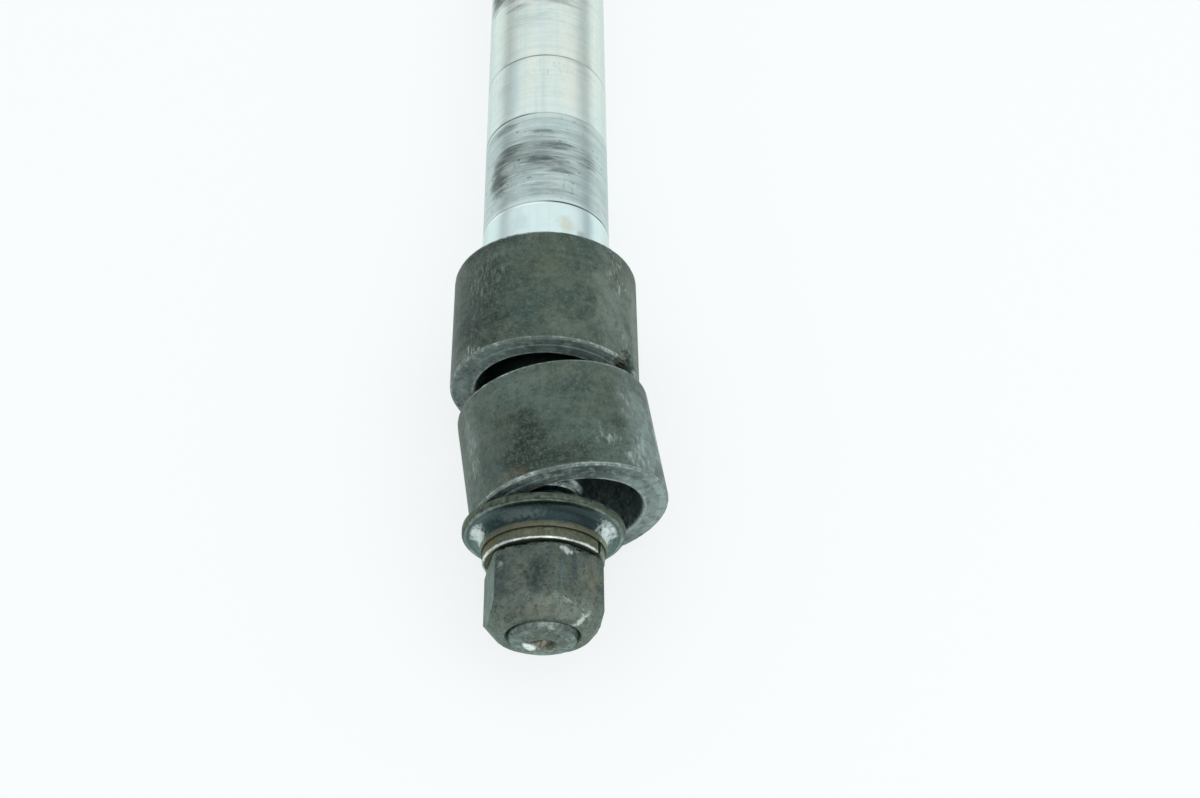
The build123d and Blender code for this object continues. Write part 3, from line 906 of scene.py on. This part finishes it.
def make_journal_finish():
    finish = Finish("ground_journal", (0.77, 0.89, 0.85), 0.26, edge_tint=(0.95, 1.0, 0.99, 1))
    finish.cover(finish.zone(along=(-80.0, 22.0, 22.0)), WARM, strength=0.85)
    finish.clouds([(12.0, 0.5, 0.2, (0.7, 0.83, 0.81), 0.28, 0.7), (5.0, 0.45, 0.15, WARM, 0.3, 0.45),
                   (2.2, 0.4, 0.15, DULL_GREY, 0.3, 0.25)])
    finish.clouds([(3.0, 0.4, 0.15, DULL_GREY, 0.3, 0.3, -0.003)], Stretch=LATHE_LINES)
    finish.clouds([(6.0, 0.4, 0.15, COOL, 0.3, 0.4), (2.5, 0.3, 0.1, DULL_GREY, 0.34, 0.35)],
                  Stretch=LENGTHWISE)
    finish.cover(finish.zone(along=(-149.0, 5.5, 2.0)), (0.74, 0.92, 0.93), strength=0.6)
    finish.spots(TINTS, Ragged=0.4)
    # Painted shade: a duller grey band down each flank of the journal.
    for side in (-84.0, 84.0):
        finish.cover(finish.zone(round=(side, 12.0, 16.0)), DULL_GREY, strength=0.5)
    rubbed = finish.zone(along=(-131.2, 10.0, 2.0))
    finish.cover(rubbed, (0.47, 0.6, 0.6), 0.3, 0.5)
    finish.clouds([(5.0, 0.5, 0.2, (0.4, 0.5, 0.52), 0.34, 0.5), (1.5, 0.45, 0.15, WARM, 0.3, 0.3)],
                  over=rubbed, Stretch=(0.6, 1.2, 0.6))
    finish.clouds([(1.2, 0.5, 0.12, (0.3, 0.38, 0.38), 0.36, 0.45)], over=rubbed, Stretch=LATHE_LINES)
    streaky = finish.patches(Stretch=SMEARED, Size=0.8, Cover=0.66, Fade=0.24, Seed=5.0)
    finish.spots(SOFT_SMEARS, 0.4, Ragged=0.5, Stretch=SMEARED, Size=2.0)
    finish.spots(SMEARS, 0.42, over=streaky, Ragged=0.8, Stretch=SMEARED, Size=2.0)
    scratches = finish.patches(Stretch=SCRATCHED, Size=1.0, Cover=0.3, Fade=0.06, Seed=6.0)
    finish.spots(SCRATCHED_PLACES, 0.42, over=scratches, Ragged=0.6)
    finish.clouds([(0.9, 0.24, 0.04, GREASE, 0.5, 0.6)], over=finish.zone(along=(-131.0, 9.0, 3.0)))
    # Each ring line is grey, and darker over one stretch of its round.
    for line_y, dark_round, strength in RING_DARK_SIDES:
        line = finish.zone(along=(line_y, 0.08, 0.2))
        finish.cover(line, LINE_GREY, 0.36, 0.65)
        dark_side = finish.both(line, finish.zone(round=(dark_round, 24.0, 24.0)),
                                finish.patches(Size=3.0, Cover=0.75, Fade=0.2, Seed=20.0))
        finish.cover(dark_side, LINE_DARK, 0.45, strength)
    # Painted highlight: a white line beside the ring line nearest the collar, left of the top.
    line_highlight = finish.zone(along=(RING_LINES[0] - 0.4, 0.08, 0.16), round=(-32.0, 26.0, 14.0))
    finish.cover(line_highlight, (1.0, 1.0, 1.0), 0.2, 0.8)
    return finish.done(grain=0.004)


journal_finish = make_journal_finish()

# %% [markdown]
# ## Neck, thread and stud end
# The neck and the cone were never in the open. They are black with old oil, which gives them a sharp shine,
# and only the crests of the thread are bright. Their colour is set a lighter teal grey than that, as painted
# light where the neck lies in shade between the collars, and one pale spot on the cone is a painted
# highlight.
# The end of the stud was struck and handled: it is mottled, with brown in the centre hole, painted shade
# inside the hole's upper edge and a painted highlight at its lower left edge.

# %% Neck and stud end
BARE_STEEL = (0.5, 0.57, 0.55)
DARK_DIRT_AND_SHADE = (0.045, 0.05, 0.04)
HOLE_RUST = (0.14, 0.14, 0.1)


def make_neck_finish():
    # Painted light: the base is a lighter teal grey than oily steel, for the neck where it lies in shade.
    finish = Finish("oily_neck", (0.16, 0.22, 0.22), 0.34)
    finish.clouds([(4.0, 0.45, 0.15, (0.06, 0.085, 0.085), 0.4, 0.8),
                   (1.5, 0.4, 0.1, (0.25, 0.32, 0.31), 0.3, 0.5)])
    finish.clouds([(2.0, 0.35, 0.12, (0.1, 0.13, 0.12), 0.2, 0.5)], Stretch=LATHE_LINES)
    crest = finish.zone(radius=(STUD_RADIUS + 0.1, 0.3, 0.05))
    half = (thread_far_y - stud_end_y) / 2
    on_thread = finish.zone(along=(stud_end_y + half, half, 0.1))
    finish.clouds([(1.5, 0.5, 0.08, BARE_STEEL, 0.22, 0.8)], over=finish.both(crest, on_thread))
    # Painted highlight: a pale spot of bare steel colour on the cone.
    finish.spots([(-200.5, 50.0, 1.5, 18.0, BARE_STEEL, 0.85)], 0.3, Ragged=0.3)
    finish.cover(finish.worn(0.5), BARE_STEEL, 0.22, 0.7)
    return finish.done(grain=0.02)


def make_stud_end_finish():
    finish = Finish("stud_end", (0.13, 0.16, 0.145), 0.34)
    finish.clouds([(3.0, 0.5, 0.12, (0.1, 0.115, 0.09), 0.42, 0.8),
                   (1.1, 0.42, 0.1, (0.25, 0.3, 0.29), 0.28, 0.7),
                   (0.6, 0.35, 0.07, DARK_DIRT_AND_SHADE, 0.5, 0.7, -0.03)])
    hole = finish.zone(radius=(0.0, CENTRE_HOLE_RADIUS + 0.1, 0.35))
    finish.cover(hole, HOLE_RUST, 0.6, 0.85)
    finish.clouds([(0.9, 0.5, 0.12, (0.34, 0.35, 0.28), 0.4, 0.8),
                   (0.7, 0.4, 0.1, DARK_DIRT_AND_SHADE, 0.5, 0.7)], over=hole)
    # Painted shade: dark inside the upper edge of the centre hole.
    shaded_hole_top = finish.zone(radius=(CENTRE_HOLE_RADIUS - 0.2, 0.25, 0.3), round=(0.0, 80.0, 30.0))
    finish.cover(shaded_hole_top, DARK_DIRT_AND_SHADE, 0.5, 0.9)
    # Painted highlight: a near-white glint at the lower left edge of the centre hole.
    hole_glint = finish.both(finish.zone(radius=(CENTRE_HOLE_RADIUS + 0.5, 0.5, 0.5), round=(-110.0, 22.0, 18.0)),
                       finish.patches(Size=0.8, Cover=0.75, Fade=0.1, Seed=9.0))
    finish.cover(hole_glint, (0.85, 0.9, 0.86), 0.2)
    rim = finish.zone(radius=(STUD_END_RADIUS + 0.1, 0.4, 0.3))
    finish.clouds([(1.6, 0.45, 0.12, (0.25, 0.3, 0.29), 0.3, 0.35)], over=rim)
    return finish.done(grain=0.06)


neck_finish = make_neck_finish()
stud_end_finish = make_stud_end_finish()

# %% [markdown]
# ## Collar finish
# Phosphated steel is a dark coat that is nearly a dielectric, so it keeps a soft sheen and turns lighter
# where the eye grazes it. Metallic is therefore low. Its colour wanders between blue grey, olive and brown,
# and years of grit have pitted it. The flat ends were faced on a lathe and never rubbed as bare as the rims:
# they show the tool's rings. Painted light makes the right-hand part of each face lighter, drawn out in
# rings, and makes the bore lighter than the coat. Both collars share this recipe. Each adds its own marks and
# scuffs, told as along, round, the reach of both, colour and strength, and some of the marks are painted
# light and shade. A scuff only shows through a cloud of scratches.

# %% Collar finish
COAT, BLUE_GREY, OLIVE = (0.058, 0.09, 0.07), (0.036, 0.062, 0.06), (0.085, 0.105, 0.066)
PALE, DARK, RUST = (0.135, 0.175, 0.148), (0.02, 0.032, 0.024), (0.16, 0.105, 0.065)
INNER_FACED, OUTER_FACED = (0.13, 0.19, 0.175), (0.065, 0.097, 0.09)
BRIGHT_SCUFF, PALER_COAT, LIT_SIDE_GREY = (0.34, 0.4, 0.37), (0.08, 0.12, 0.1), (0.17, 0.21, 0.175)
ALL_ROUND = (1.0, 0.0, 1.0)
# Painted shade and light: the very dark ovals at round -38 and -58 darken the inner collar's left side, and
# the two pale grey ovals at round 46 and 72 lighten its right side.
INNER_MARKS = [(-166.0, -38.0, 18.0, 32.0, (0.01, 0.02, 0.017), 0.95), (-175.2, 14.6, 3.5, 16.0, PALE, 0.6),
               (-168.4, 46.0, 15.0, 22.0, LIT_SIDE_GREY, 0.85), (-167.0, 72.0, 14.0, 14.0, LIT_SIDE_GREY, 0.8),
               (-159.7, 55.0, 6.0, 14.0, OLIVE, 0.6),
               (-161.0, 2.0, 4.0, 24.0, OLIVE, 0.6), (-174.0, -13.0, 5.0, 10.0, BLUE_GREY, 0.6),
               (-169.0, 30.0, 5.0, 6.0, DARK, 0.55), (-179.0, -50.0, 3.0, 10.0, PALE, 0.6),
               (-177.2, NICK_ROUND - 4, 2.6, 4.5, (0.26, 0.23, 0.16), 0.95),
               # Painted shadow: the near-black oval on the nick's right flank.
               (-177.0, NICK_ROUND + 3, 3.2, 4.0, (0.012, 0.018, 0.015), 0.98),
               (-168.0, -58.0, 12.0, 16.0, (0.008, 0.014, 0.012), 0.7)]
INNER_SCUFFS = [(-178.0, -50.0, 4.0, 12.0, BRIGHT_SCUFF, 0.9), (-163.0, -36.0, 9.0, 18.0, PALE, 0.9),
                (-160.0, 52.0, 6.0, 14.0, BRIGHT_SCUFF, 0.7), (-175.0, 58.0, 4.0, 10.0, BRIGHT_SCUFF, 0.6)]
# Painted light and shade: the two very dark ovals left of the top, at round -25 and -20, are a painted dark
# reflection, the pale ovals at round -62 and 80 are painted reflections down both sides, and the one at round
# 55 is painted light on the right.
OUTER_MARKS = [(-25.5, -25.0, 6.5, 16.0, (0.016, 0.02, 0.012), 0.8),
               (-24.5, -20.0, 7.0, 24.0, (0.01, 0.016, 0.012), 0.95), (-29.0, 0.0, 3.5, 26.0, DARK, 0.85),
               (-22.5, -38.0, 6.0, 10.0, DARK, 0.7), (-30.0, -33.0, 2.0, 16.0, RUST, 0.35),
               (-18.0, -62.0, 11.0, 10.0, (0.16, 0.21, 0.185), 0.9), (-26.0, -50.0, 6.0, 7.0, BLUE_GREY, 0.8),
               (-23.5, 55.0, 13.0, 22.0, (0.22, 0.3, 0.285), 0.95),
               (-21.0, 80.0, 12.0, 16.0, (0.32, 0.42, 0.41), 0.9),
               (-16.5, 43.0, 7.0, 10.0, (0.14, 0.18, 0.165), 0.7),
               (-28.5, 46.0, 4.0, 14.0, (0.25, 0.33, 0.32), 0.8),
               (-16.0, 12.0, 3.5, 16.0, BLUE_GREY, 0.6), (-22.3, 35.0, 4.0, 8.0, DARK, 0.7),
               (-13.0, -22.0, 3.0, 30.0, PALE, 0.6), (-26.1, 27.0, 1.2, 5.0, (0.2, 0.25, 0.22), 0.9)]
OUTER_SCUFFS = [(-28.0, 46.0, 5.0, 14.0, BRIGHT_SCUFF, 0.9), (-26.0, 26.0, 2.4, 9.0, BRIGHT_SCUFF, 0.8),
                (-20.0, -62.0, 10.0, 8.0, BRIGHT_SCUFF, 0.6), (-18.0, 46.0, 6.0, 12.0, BRIGHT_SCUFF, 0.5)]


def make_collar_finish(name, coat, faced, near_y, marks, scuffs, tip=None):
    finish = Finish(name, coat, 0.42, metallic=0.15, tip=tip)
    finish.shader.inputs["Specular IOR Level"].default_value = 0.25
    finish.clouds([(15.0, 0.5, 0.14, BLUE_GREY, 0.38, 0.6), (8.0, 0.42, 0.1, OLIVE, 0.48, 0.8)])
    finish.spots(marks, Ragged=0.6, Size=3.0)
    finish.clouds([(4.0, 0.4, 0.12, PALE, 0.5, 0.35), (1.5, 0.45, 0.12, DARK, 0.5, 0.45),
                   (0.9, 0.36, 0.1, PALE, 0.5, 0.4, 0.03), (0.6, 0.22, 0.06, DARK, 0.6, 0.8, -0.06),
                   (0.45, 0.36, 0.08, PALE, 0.5, 0.5, 0.03), (0.35, 0.3, 0.06, DARK, 0.6, 0.6, -0.03)])
    finish.clouds([(2.5, 0.4, 0.12, PALE, 0.4, 0.25)], Stretch=(0.12, 1.5, 0.12))
    scratches = finish.patches(Stretch=(1.6, 0.6, 1.6), Size=0.9, Cover=0.4, Fade=0.07, Seed=7.0)
    finish.spots(scuffs, 0.4, over=scratches, Ragged=0.8)
    reach = COLLAR_RADIUS - COLLAR_BORE_RADIUS - 0.2
    face = finish.zone(along=(near_y, 0.22, 0.06), radius=(COLLAR_BORE_RADIUS, reach, 0.2))
    finish.cover(face, faced, 0.34, 0.95)
    # Painted light: the right-hand part of the face is lighter, drawn out in rings.
    lit_side_of_face = finish.both(face, finish.zone(round=(85.0, 35.0, 25.0)))
    finish.clouds([(2.0, 0.62, 0.2, (0.36, 0.48, 0.46), 0.34, 0.9)], over=lit_side_of_face, rings=True,
                  Stretch=ALL_ROUND)
    uneven = finish.both(face, finish.patches(Size=3.0, Cover=0.5, Fade=0.2, Seed=8.0))
    finish.clouds([(0.9, 0.5, 0.12, (0.2, 0.26, 0.25), 0.28, 0.8, 0.03)], over=uneven, rings=True,
                  Stretch=ALL_ROUND)
    finish.clouds([(2.2, 0.42, 0.12, DARK, 0.4, 0.6), (1.2, 0.4, 0.1, BRIGHT_SCUFF, 0.3, 0.6)], over=face)
    mouth = finish.both(face, finish.zone(radius=(COLLAR_BORE_RADIUS + 0.5, 0.2, 0.2)))
    finish.clouds([(1.4, 0.5, 0.12, BARE_STEEL, 0.28, 0.75)], over=mouth)
    # Painted light: the bore is lighter than the coat, with pale specks, for the light that reaches into it.
    bore = finish.zone(radius=(COLLAR_BORE_RADIUS - 0.4, 0.45, 0.1))
    finish.cover(bore, (0.14, 0.2, 0.195), 0.3)
    finish.clouds([(3.0, 0.5, 0.12, (0.06, 0.09, 0.088), 0.26, 0.8),
                   (0.9, 0.36, 0.08, (0.4, 0.48, 0.46), 0.26, 0.7)], over=bore)
    finish.cover(finish.worn(0.72), (0.16, 0.2, 0.18), 0.36, 0.7)
    finish.clouds([(1.2, 0.5, 0.1, BARE_STEEL, 0.28, 0.8)], over=finish.worn(0.5))
    return finish.done(grain=0.2)


inner_finish = make_collar_finish("inner_collar_steel", COAT, INNER_FACED, inner_near_y, INNER_MARKS,
                                  INNER_SCUFFS)

# %% [markdown]
# The outer collar leans, so its marks are told in its own straight frame. A Mapping node turns the place
# back by the lean. Along is then measured from the point that the collar leans about.

# %% Outer collar finish
lean_centre = AXLE_LINE * lean_centre_y * MM
back = Matrix.Rotation(-lean, 4, "Z") @ Matrix.Translation(-lean_centre)
outer_near_y = -LEAN_CENTRE_TO_COLLAR - OUTER_COLLAR_LENGTH
outer_finish = make_collar_finish("outer_collar_steel", PALER_COAT, OUTER_FACED, outer_near_y, OUTER_MARKS,
                                  OUTER_SCUFFS, (back.to_translation(), -lean))

# %% [markdown]
# ## Stepped washer finish
# The stepped washer is dark in the middle of its cove, and the pale patches where the cove turns to the
# sides are painted reflections. Its hub's edge has gone olive brown.

# %% Stepped washer finish
TEAL_DARK, BROWN, COVE_REFLECTION_PALE = (0.04, 0.065, 0.064), (0.12, 0.12, 0.08), (0.72, 0.8, 0.77)


def make_washer_finish():
    finish = Finish("stepped_washer_steel", (0.075, 0.095, 0.075), 0.42)
    finish.clouds([(2.5, 0.45, 0.12, BROWN, 0.5, 0.5), (1.0, 0.4, 0.1, (0.17, 0.2, 0.175), 0.45, 0.6),
                   (0.7, 0.35, 0.07, DARK, 0.5, 0.7, -0.03)])
    cove = finish.zone(radius=(HUB_RADIUS + COVE_RADIUS / 2, COVE_RADIUS / 2, 0.3))
    finish.cover(cove, TEAL_DARK, 0.26)
    finish.clouds([(0.6, 0.42, 0.1, (0.13, 0.18, 0.175), 0.24, 0.6)], over=cove, rings=True)
    finish.cover(finish.zone(radius=(HUB_RADIUS + 0.1, 0.4, 0.6)), (0.018, 0.03, 0.032), 0.26, 0.75)
    # Painted reflections: the two near-white patches at round 74 and -76 where the cove turns to the sides.
    # The third row is a paler teal spot.
    cove_reflections_and_spot = [(-210.6, 74.0, 4.5, 22.0, COVE_REFLECTION_PALE, 0.98), (-210.4, -76.0, 4.5, 18.0, COVE_REFLECTION_PALE, 0.95),
                (-209.5, -20.0, 1.2, 30.0, (0.12, 0.16, 0.155), 0.6)]
    low_in_cove = finish.both(cove, finish.zone(radius=(HUB_RADIUS + 0.4, 1.0, 0.7)))
    finish.spots(cove_reflections_and_spot, 0.5, over=low_in_cove, Ragged=0.5, Size=0.7)
    hub_edge = finish.zone(along=(washer_near_y - 0.35, 0.6, 0.35))
    crumbly = finish.patches(Size=1.2, Cover=0.75, Fade=0.15, Seed=12.0)
    finish.cover(finish.both(hub_edge, crumbly), (0.14, 0.145, 0.1), 0.5, 0.9)
    rim_edge = finish.both(finish.worn(0.8), finish.zone(along=(rim_near_y, 0.5, 0.1)))
    finish.cover(rim_edge, (0.16, 0.2, 0.18), 0.34, 0.6)
    finish.clouds([(1.6, 0.45, 0.12, (0.27, 0.33, 0.3), 0.28, 0.8)], over=rim_edge)
    return finish.done(grain=0.07)


washer_finish = make_washer_finish()

# %% [markdown]
# ## Spring washer finish
# The spring washer has rusted to the olive brown of the hub below it, so that the two read as one band. Its
# outer edge is rubbed to a bright line with near-white patches painted on it as highlights, and painted
# shade makes the line dull again just past the gap.

# %% Spring washer finish
def make_spring_finish():
    finish = Finish("rusty_spring", (0.13, 0.145, 0.1), 0.48)
    finish.clouds([(2.5, 0.5, 0.12, BROWN, 0.5, 0.8), (1.0, 0.4, 0.1, (0.2, 0.23, 0.19), 0.42, 0.6),
                   (0.7, 0.3, 0.08, DARK_DIRT_AND_SHADE, 0.6, 0.7, -0.04)])
    finish.spots([(spring_near_y + 1, -62.0, 2.5, 24.0, (0.17, 0.13, 0.07), 0.7)], 0.55)
    edge = finish.worn(0.85)
    finish.cover(edge, (0.36, 0.43, 0.4), 0.24)
    # Painted highlights: near-white patches on the rubbed edge.
    finish.clouds([(2.2, 0.5, 0.12, (0.8, 0.86, 0.83), 0.2, 0.9),
                   (0.8, 0.3, 0.08, BROWN, 0.4, 0.5)], over=edge)
    # Painted shade: the edge line is dulled past the gap.
    shaded_past_the_gap = finish.zone(round=(92.0, 25.0, 2.0))
    finish.cover(finish.both(edge, shaded_past_the_gap), (0.13, 0.15, 0.125), 0.4, 0.85)
    return finish.done(grain=0.09)


spring_finish = make_spring_finish()

# %% [markdown]
# ## Nut finish
# The nut is blue grey steel under thin brown dirt. Its corners are rounded but hardly brighter, and a few
# bright scratches show where a spanner slipped. The shaft's head has the same finish.

# %% Nut finish
NUT_MARKS = [(-220.0, -4.0, 4.5, 15.0, (0.028, 0.048, 0.05), 0.85), (-219.0, -42.0, 5.0, 8.0, TEAL_DARK, 0.6),
             (-218.5, 56.0, 5.5, 24.0, (0.215, 0.23, 0.175), 0.8),
             (-219.0, 20.0, 5.5, 5.0, (0.13, 0.19, 0.19), 0.85),
             (-218.0, 34.0, 5.0, 6.0, (0.06, 0.09, 0.095), 0.7),
             (-226.2, 0.0, 1.6, 34.0, (0.2, 0.22, 0.175), 0.8)]
NUT_SCRATCHES = [(-215.4, 24.0, 0.9, 8.0, (0.75, 0.82, 0.77), 0.8), (-224.4, 26.0, 0.5, 6.0, BARE_STEEL, 0.5),
                 (-226.3, 51.0, 1.5, 8.0, (0.7, 0.78, 0.74), 0.85),
                 (-217.3, -42.0, 1.2, 3.0, BARE_STEEL, 0.4), (-214.9, 40.0, 0.5, 8.0, BARE_STEEL, 0.4)]


def make_nut_finish():
    finish = Finish("dull_nut", (0.13, 0.18, 0.167), 0.4)
    finish.cover(finish.zone(along=(nut_near_y, 2.4, 2.4)), (0.31, 0.38, 0.315), 0.44, 0.65)
    finish.clouds([(6.0, 0.5, 0.14, (0.055, 0.08, 0.082), 0.34, 0.6),
                   (3.5, 0.45, 0.12, (0.16, 0.175, 0.13), 0.52, 0.6)])
    finish.spots(NUT_MARKS, Ragged=0.5, Size=2.5)
    finish.clouds([(1.4, 0.45, 0.14, (0.06, 0.07, 0.06), 0.5, 0.5),
                   (0.8, 0.42, 0.12, (0.2, 0.22, 0.19), 0.5, 0.4),
                   (0.45, 0.35, 0.09, DARK_DIRT_AND_SHADE, 0.6, 0.6, -0.05)])
    finish.spots(NUT_SCRATCHES, 0.3, Ragged=0.9, Size=0.9)
    finish.cover(finish.worn(0.35), (0.2, 0.25, 0.24), 0.36, 0.35)
    return finish.done(grain=0.14)


nut_finish = make_nut_finish()

# %% [markdown]
# ## Dress the pieces
# A finished mesh becomes an object at the origin, unturned and unscaled. Its faces are shaded smooth, and
# only corners that turn sharply stay hard.

# %% A finished piece
SHARP_FROM = 38


def finish_piece(bm, name, body, slot, materials, replaced):
    """Make the mesh an object that rides on a body in place of the measured piece, with sharp corners."""
    for face in bm.faces:
        face.smooth = True
    for edge in bm.edges:
        edge.smooth = len(edge.link_faces) == 2 and edge.calc_face_angle() < radians(SHARP_FROM)
    mesh = bpy.data.meshes.new(name)
    bm.to_mesh(mesh)
    bm.free()
    piece = bpy.data.objects.new(name, mesh)
    scene.collection.objects.link(piece)
    for material in materials:
        mesh.materials.append(material)
    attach(piece, body)
    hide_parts(replaced)
    sharp_edges = sum(edge.use_edge_sharp for edge in mesh.edges)
    print(name, len(mesh.polygons), "faces,", sharp_edges, "sharp edges")


# %% [markdown]
# Each mesh becomes a piece that rides on its body and takes the place of the measured one. The shaft has
# four finishes, so its faces choose theirs by where they are. The others have one each. A row of the table
# says the mesh, the piece's name, its body, its material slot, its finishes and the node it replaces.

# %% Dress the pieces
JOURNAL, NECK, STUD_END, HEAD = 0, 1, 2, 3
for face in shaft.faces:
    middle = face.calc_center_median() / MM
    outside_journal = hypot(middle.x, middle.z) > JOURNAL_RADIUS + 0.5
    if middle.y > FLANGE_THICKNESS - 1 or middle.y > 0.05 and outside_journal:
        face.material_index = HEAD
    elif middle.y > shoulder_y - 0.01:
        face.material_index = JOURNAL
    elif middle.y > stud_end_y + STUD_END_CHAMFER + 1:
        face.material_index = NECK
    else:
        face.material_index = STUD_END

DRESSED = [(shaft, "turned_shaft", "axle", "ground_steel",
            [journal_finish, neck_finish, stud_end_finish, nut_finish], "axle_shaft"),
           (inner, "inner_spacer_collar", "inner_collar", "collar_steel", [inner_finish], "inner_collar"),
           (outer, "outer_spacer_collar", "outer_collar", "collar_steel", [outer_finish], "outer_collar"),
           (washer, "coved_washer", "stepped_washer", "washer_steel", [washer_finish], "stepped_washer"),
           (spring, "split_spring_washer", "spring_washer", "spring_steel", [spring_finish], "spring_washer"),
           (nut, "hexagon_nut", "axle_nut", "nut_steel", [nut_finish], "axle_nut")]
for row in DRESSED:
    finish_piece(*row)

# %% [markdown]
# ## Table, light and camera
# The table is almost white. Seen by the camera or in a reflection, most of it is a plain glow of its own
# colour, and the rest is lit, so that the soft shadow beside the axle stays.

# %% Table
TABLE_SIZE = 3.0
TABLE_COLOUR, TABLE_GLOW = (0.88, 0.92, 0.925, 1), (0.965, 0.99, 0.995, 1)
TABLE_GLOW_SHARE = 0.78
table_height = cad_box[0][2]
table_mesh = bmesh.new()
bmesh.ops.create_grid(table_mesh, x_segments=1, y_segments=1, size=TABLE_SIZE,
                      matrix=Matrix.Translation((0, 0, table_height)))
table_data = bpy.data.meshes.new("table")
table_mesh.to_mesh(table_data)
table_mesh.free()
table = bpy.data.objects.new("table", table_data)
scene.collection.objects.link(table)

table_finish = bpy.data.materials.new("pale_table")
table_finish.use_nodes = True
tree = table_finish.node_tree
lit = tree.nodes["Principled BSDF"]
lit.inputs["Base Color"].default_value = TABLE_COLOUR
lit.inputs["Roughness"].default_value = 0.9
lit.inputs["Specular IOR Level"].default_value = 0.1
glow = add_node(tree, "ShaderNodeEmission", {"Color": TABLE_GLOW, "Strength": 1.0})
rays = add_node(tree, "ShaderNodeLightPath").outputs
seen = calculate(tree, "MAXIMUM", rays["Is Camera Ray"],
                 calculate(tree, "MAXIMUM", rays["Is Glossy Ray"], rays["Is Transmission Ray"]))
share = calculate(tree, "MULTIPLY", seen, TABLE_GLOW_SHARE)
mixed = add_node(tree, "ShaderNodeMixShader", {0: share, 1: lit.outputs[0], 2: glow.outputs[0]})
tree.links.new(mixed.outputs[0], tree.nodes["Material Output"].inputs["Surface"])
table.data.materials.append(table_finish)
print("table at", round(table_height / MM, 2), "mm")

# %% [markdown]
# The sky is bright above and darker near the horizon: that dark band is what draws the two dull stripes
# along the bright journal. Past the table's edge the camera itself sees plain white.

# %% Sky
SKY_LOW, SKY_HIGH = 0.08, 0.45
SKY_HORIZON, SKY_ABOVE = 0.5, 0.95
SKY_COLOUR = (0.96, 0.99, 1.0, 1)
world = bpy.data.worlds.new("studio")
scene.world = world
world.use_nodes = True
tree = world.node_tree
upwards = add_node(tree, "ShaderNodeSeparateXYZ",
                   {0: add_node(tree, "ShaderNodeTexCoord").outputs["Generated"]}).outputs[2]
sky_level = ramp(tree, upwards, SKY_LOW, SKY_HIGH, SKY_HORIZON, SKY_ABOVE)
seen = add_node(tree, "ShaderNodeLightPath").outputs["Is Camera Ray"]
tree.links.new(calculate(tree, "MAXIMUM", sky_level, seen), tree.nodes["Background"].inputs["Strength"])
tree.nodes["Background"].inputs["Color"].default_value = SKY_COLOUR
print("sky from", SKY_HORIZON, "at the horizon to", SKY_ABOVE, "above")

# %% [markdown]
# One large soft lamp stands at the nut's end, high on the right. It gives the steel its highlights and lays
# the faint shadow to the left.

# %% Softbox
SOFTBOX_SIZE, SOFTBOX_POWER = 0.9, 2.0
SOFTBOX_PLACE, SOFTBOX_AIM = Vector((0.35, -0.5, 0.75)), Vector((0, -0.15, 0))
softbox_data = bpy.data.lights.new("softbox", "AREA")
softbox_data.size = SOFTBOX_SIZE
softbox_data.energy = SOFTBOX_POWER
softbox = bpy.data.objects.new("softbox", softbox_data)
softbox.location = SOFTBOX_PLACE
softbox.rotation_euler = (SOFTBOX_AIM - SOFTBOX_PLACE).to_track_quat("-Z", "Y").to_euler()
scene.collection.objects.link(softbox)
print("softbox of", SOFTBOX_POWER, "W at", tuple(round(v, 2) for v in SOFTBOX_PLACE))

# %% [markdown]
# The camera stands at the nut's end and looks down along the axle. Its place and lens were worked out from
# the photograph together with the shaft's sizes, so both agree.

# %% Camera
CAMERA_LENS, SENSOR_WIDTH = 42.23, 36.0
CAMERA_PLACE = (0.00807, -0.32108, 0.21769)
CAMERA_DOWN, CAMERA_ASIDE = 57.05, -0.85
camera_data = bpy.data.cameras.new("camera")
camera_data.lens = CAMERA_LENS
camera_data.sensor_width = SENSOR_WIDTH
camera = bpy.data.objects.new("camera", camera_data)
camera.location = CAMERA_PLACE
camera.rotation_euler = (radians(90 - CAMERA_DOWN), 0, radians(CAMERA_ASIDE))
scene.collection.objects.link(camera)
scene.camera = camera
print("camera at", CAMERA_PLACE, "looks", CAMERA_DOWN, "degrees down, lens", CAMERA_LENS)

# %% [markdown]
# ## Finish
# The dressed model has to keep the measured model's size, and the measured model's box is printed.

# %% Sizes and finish
print("measured", [[round(v, 5) for v in corner] for corner in cad_box])
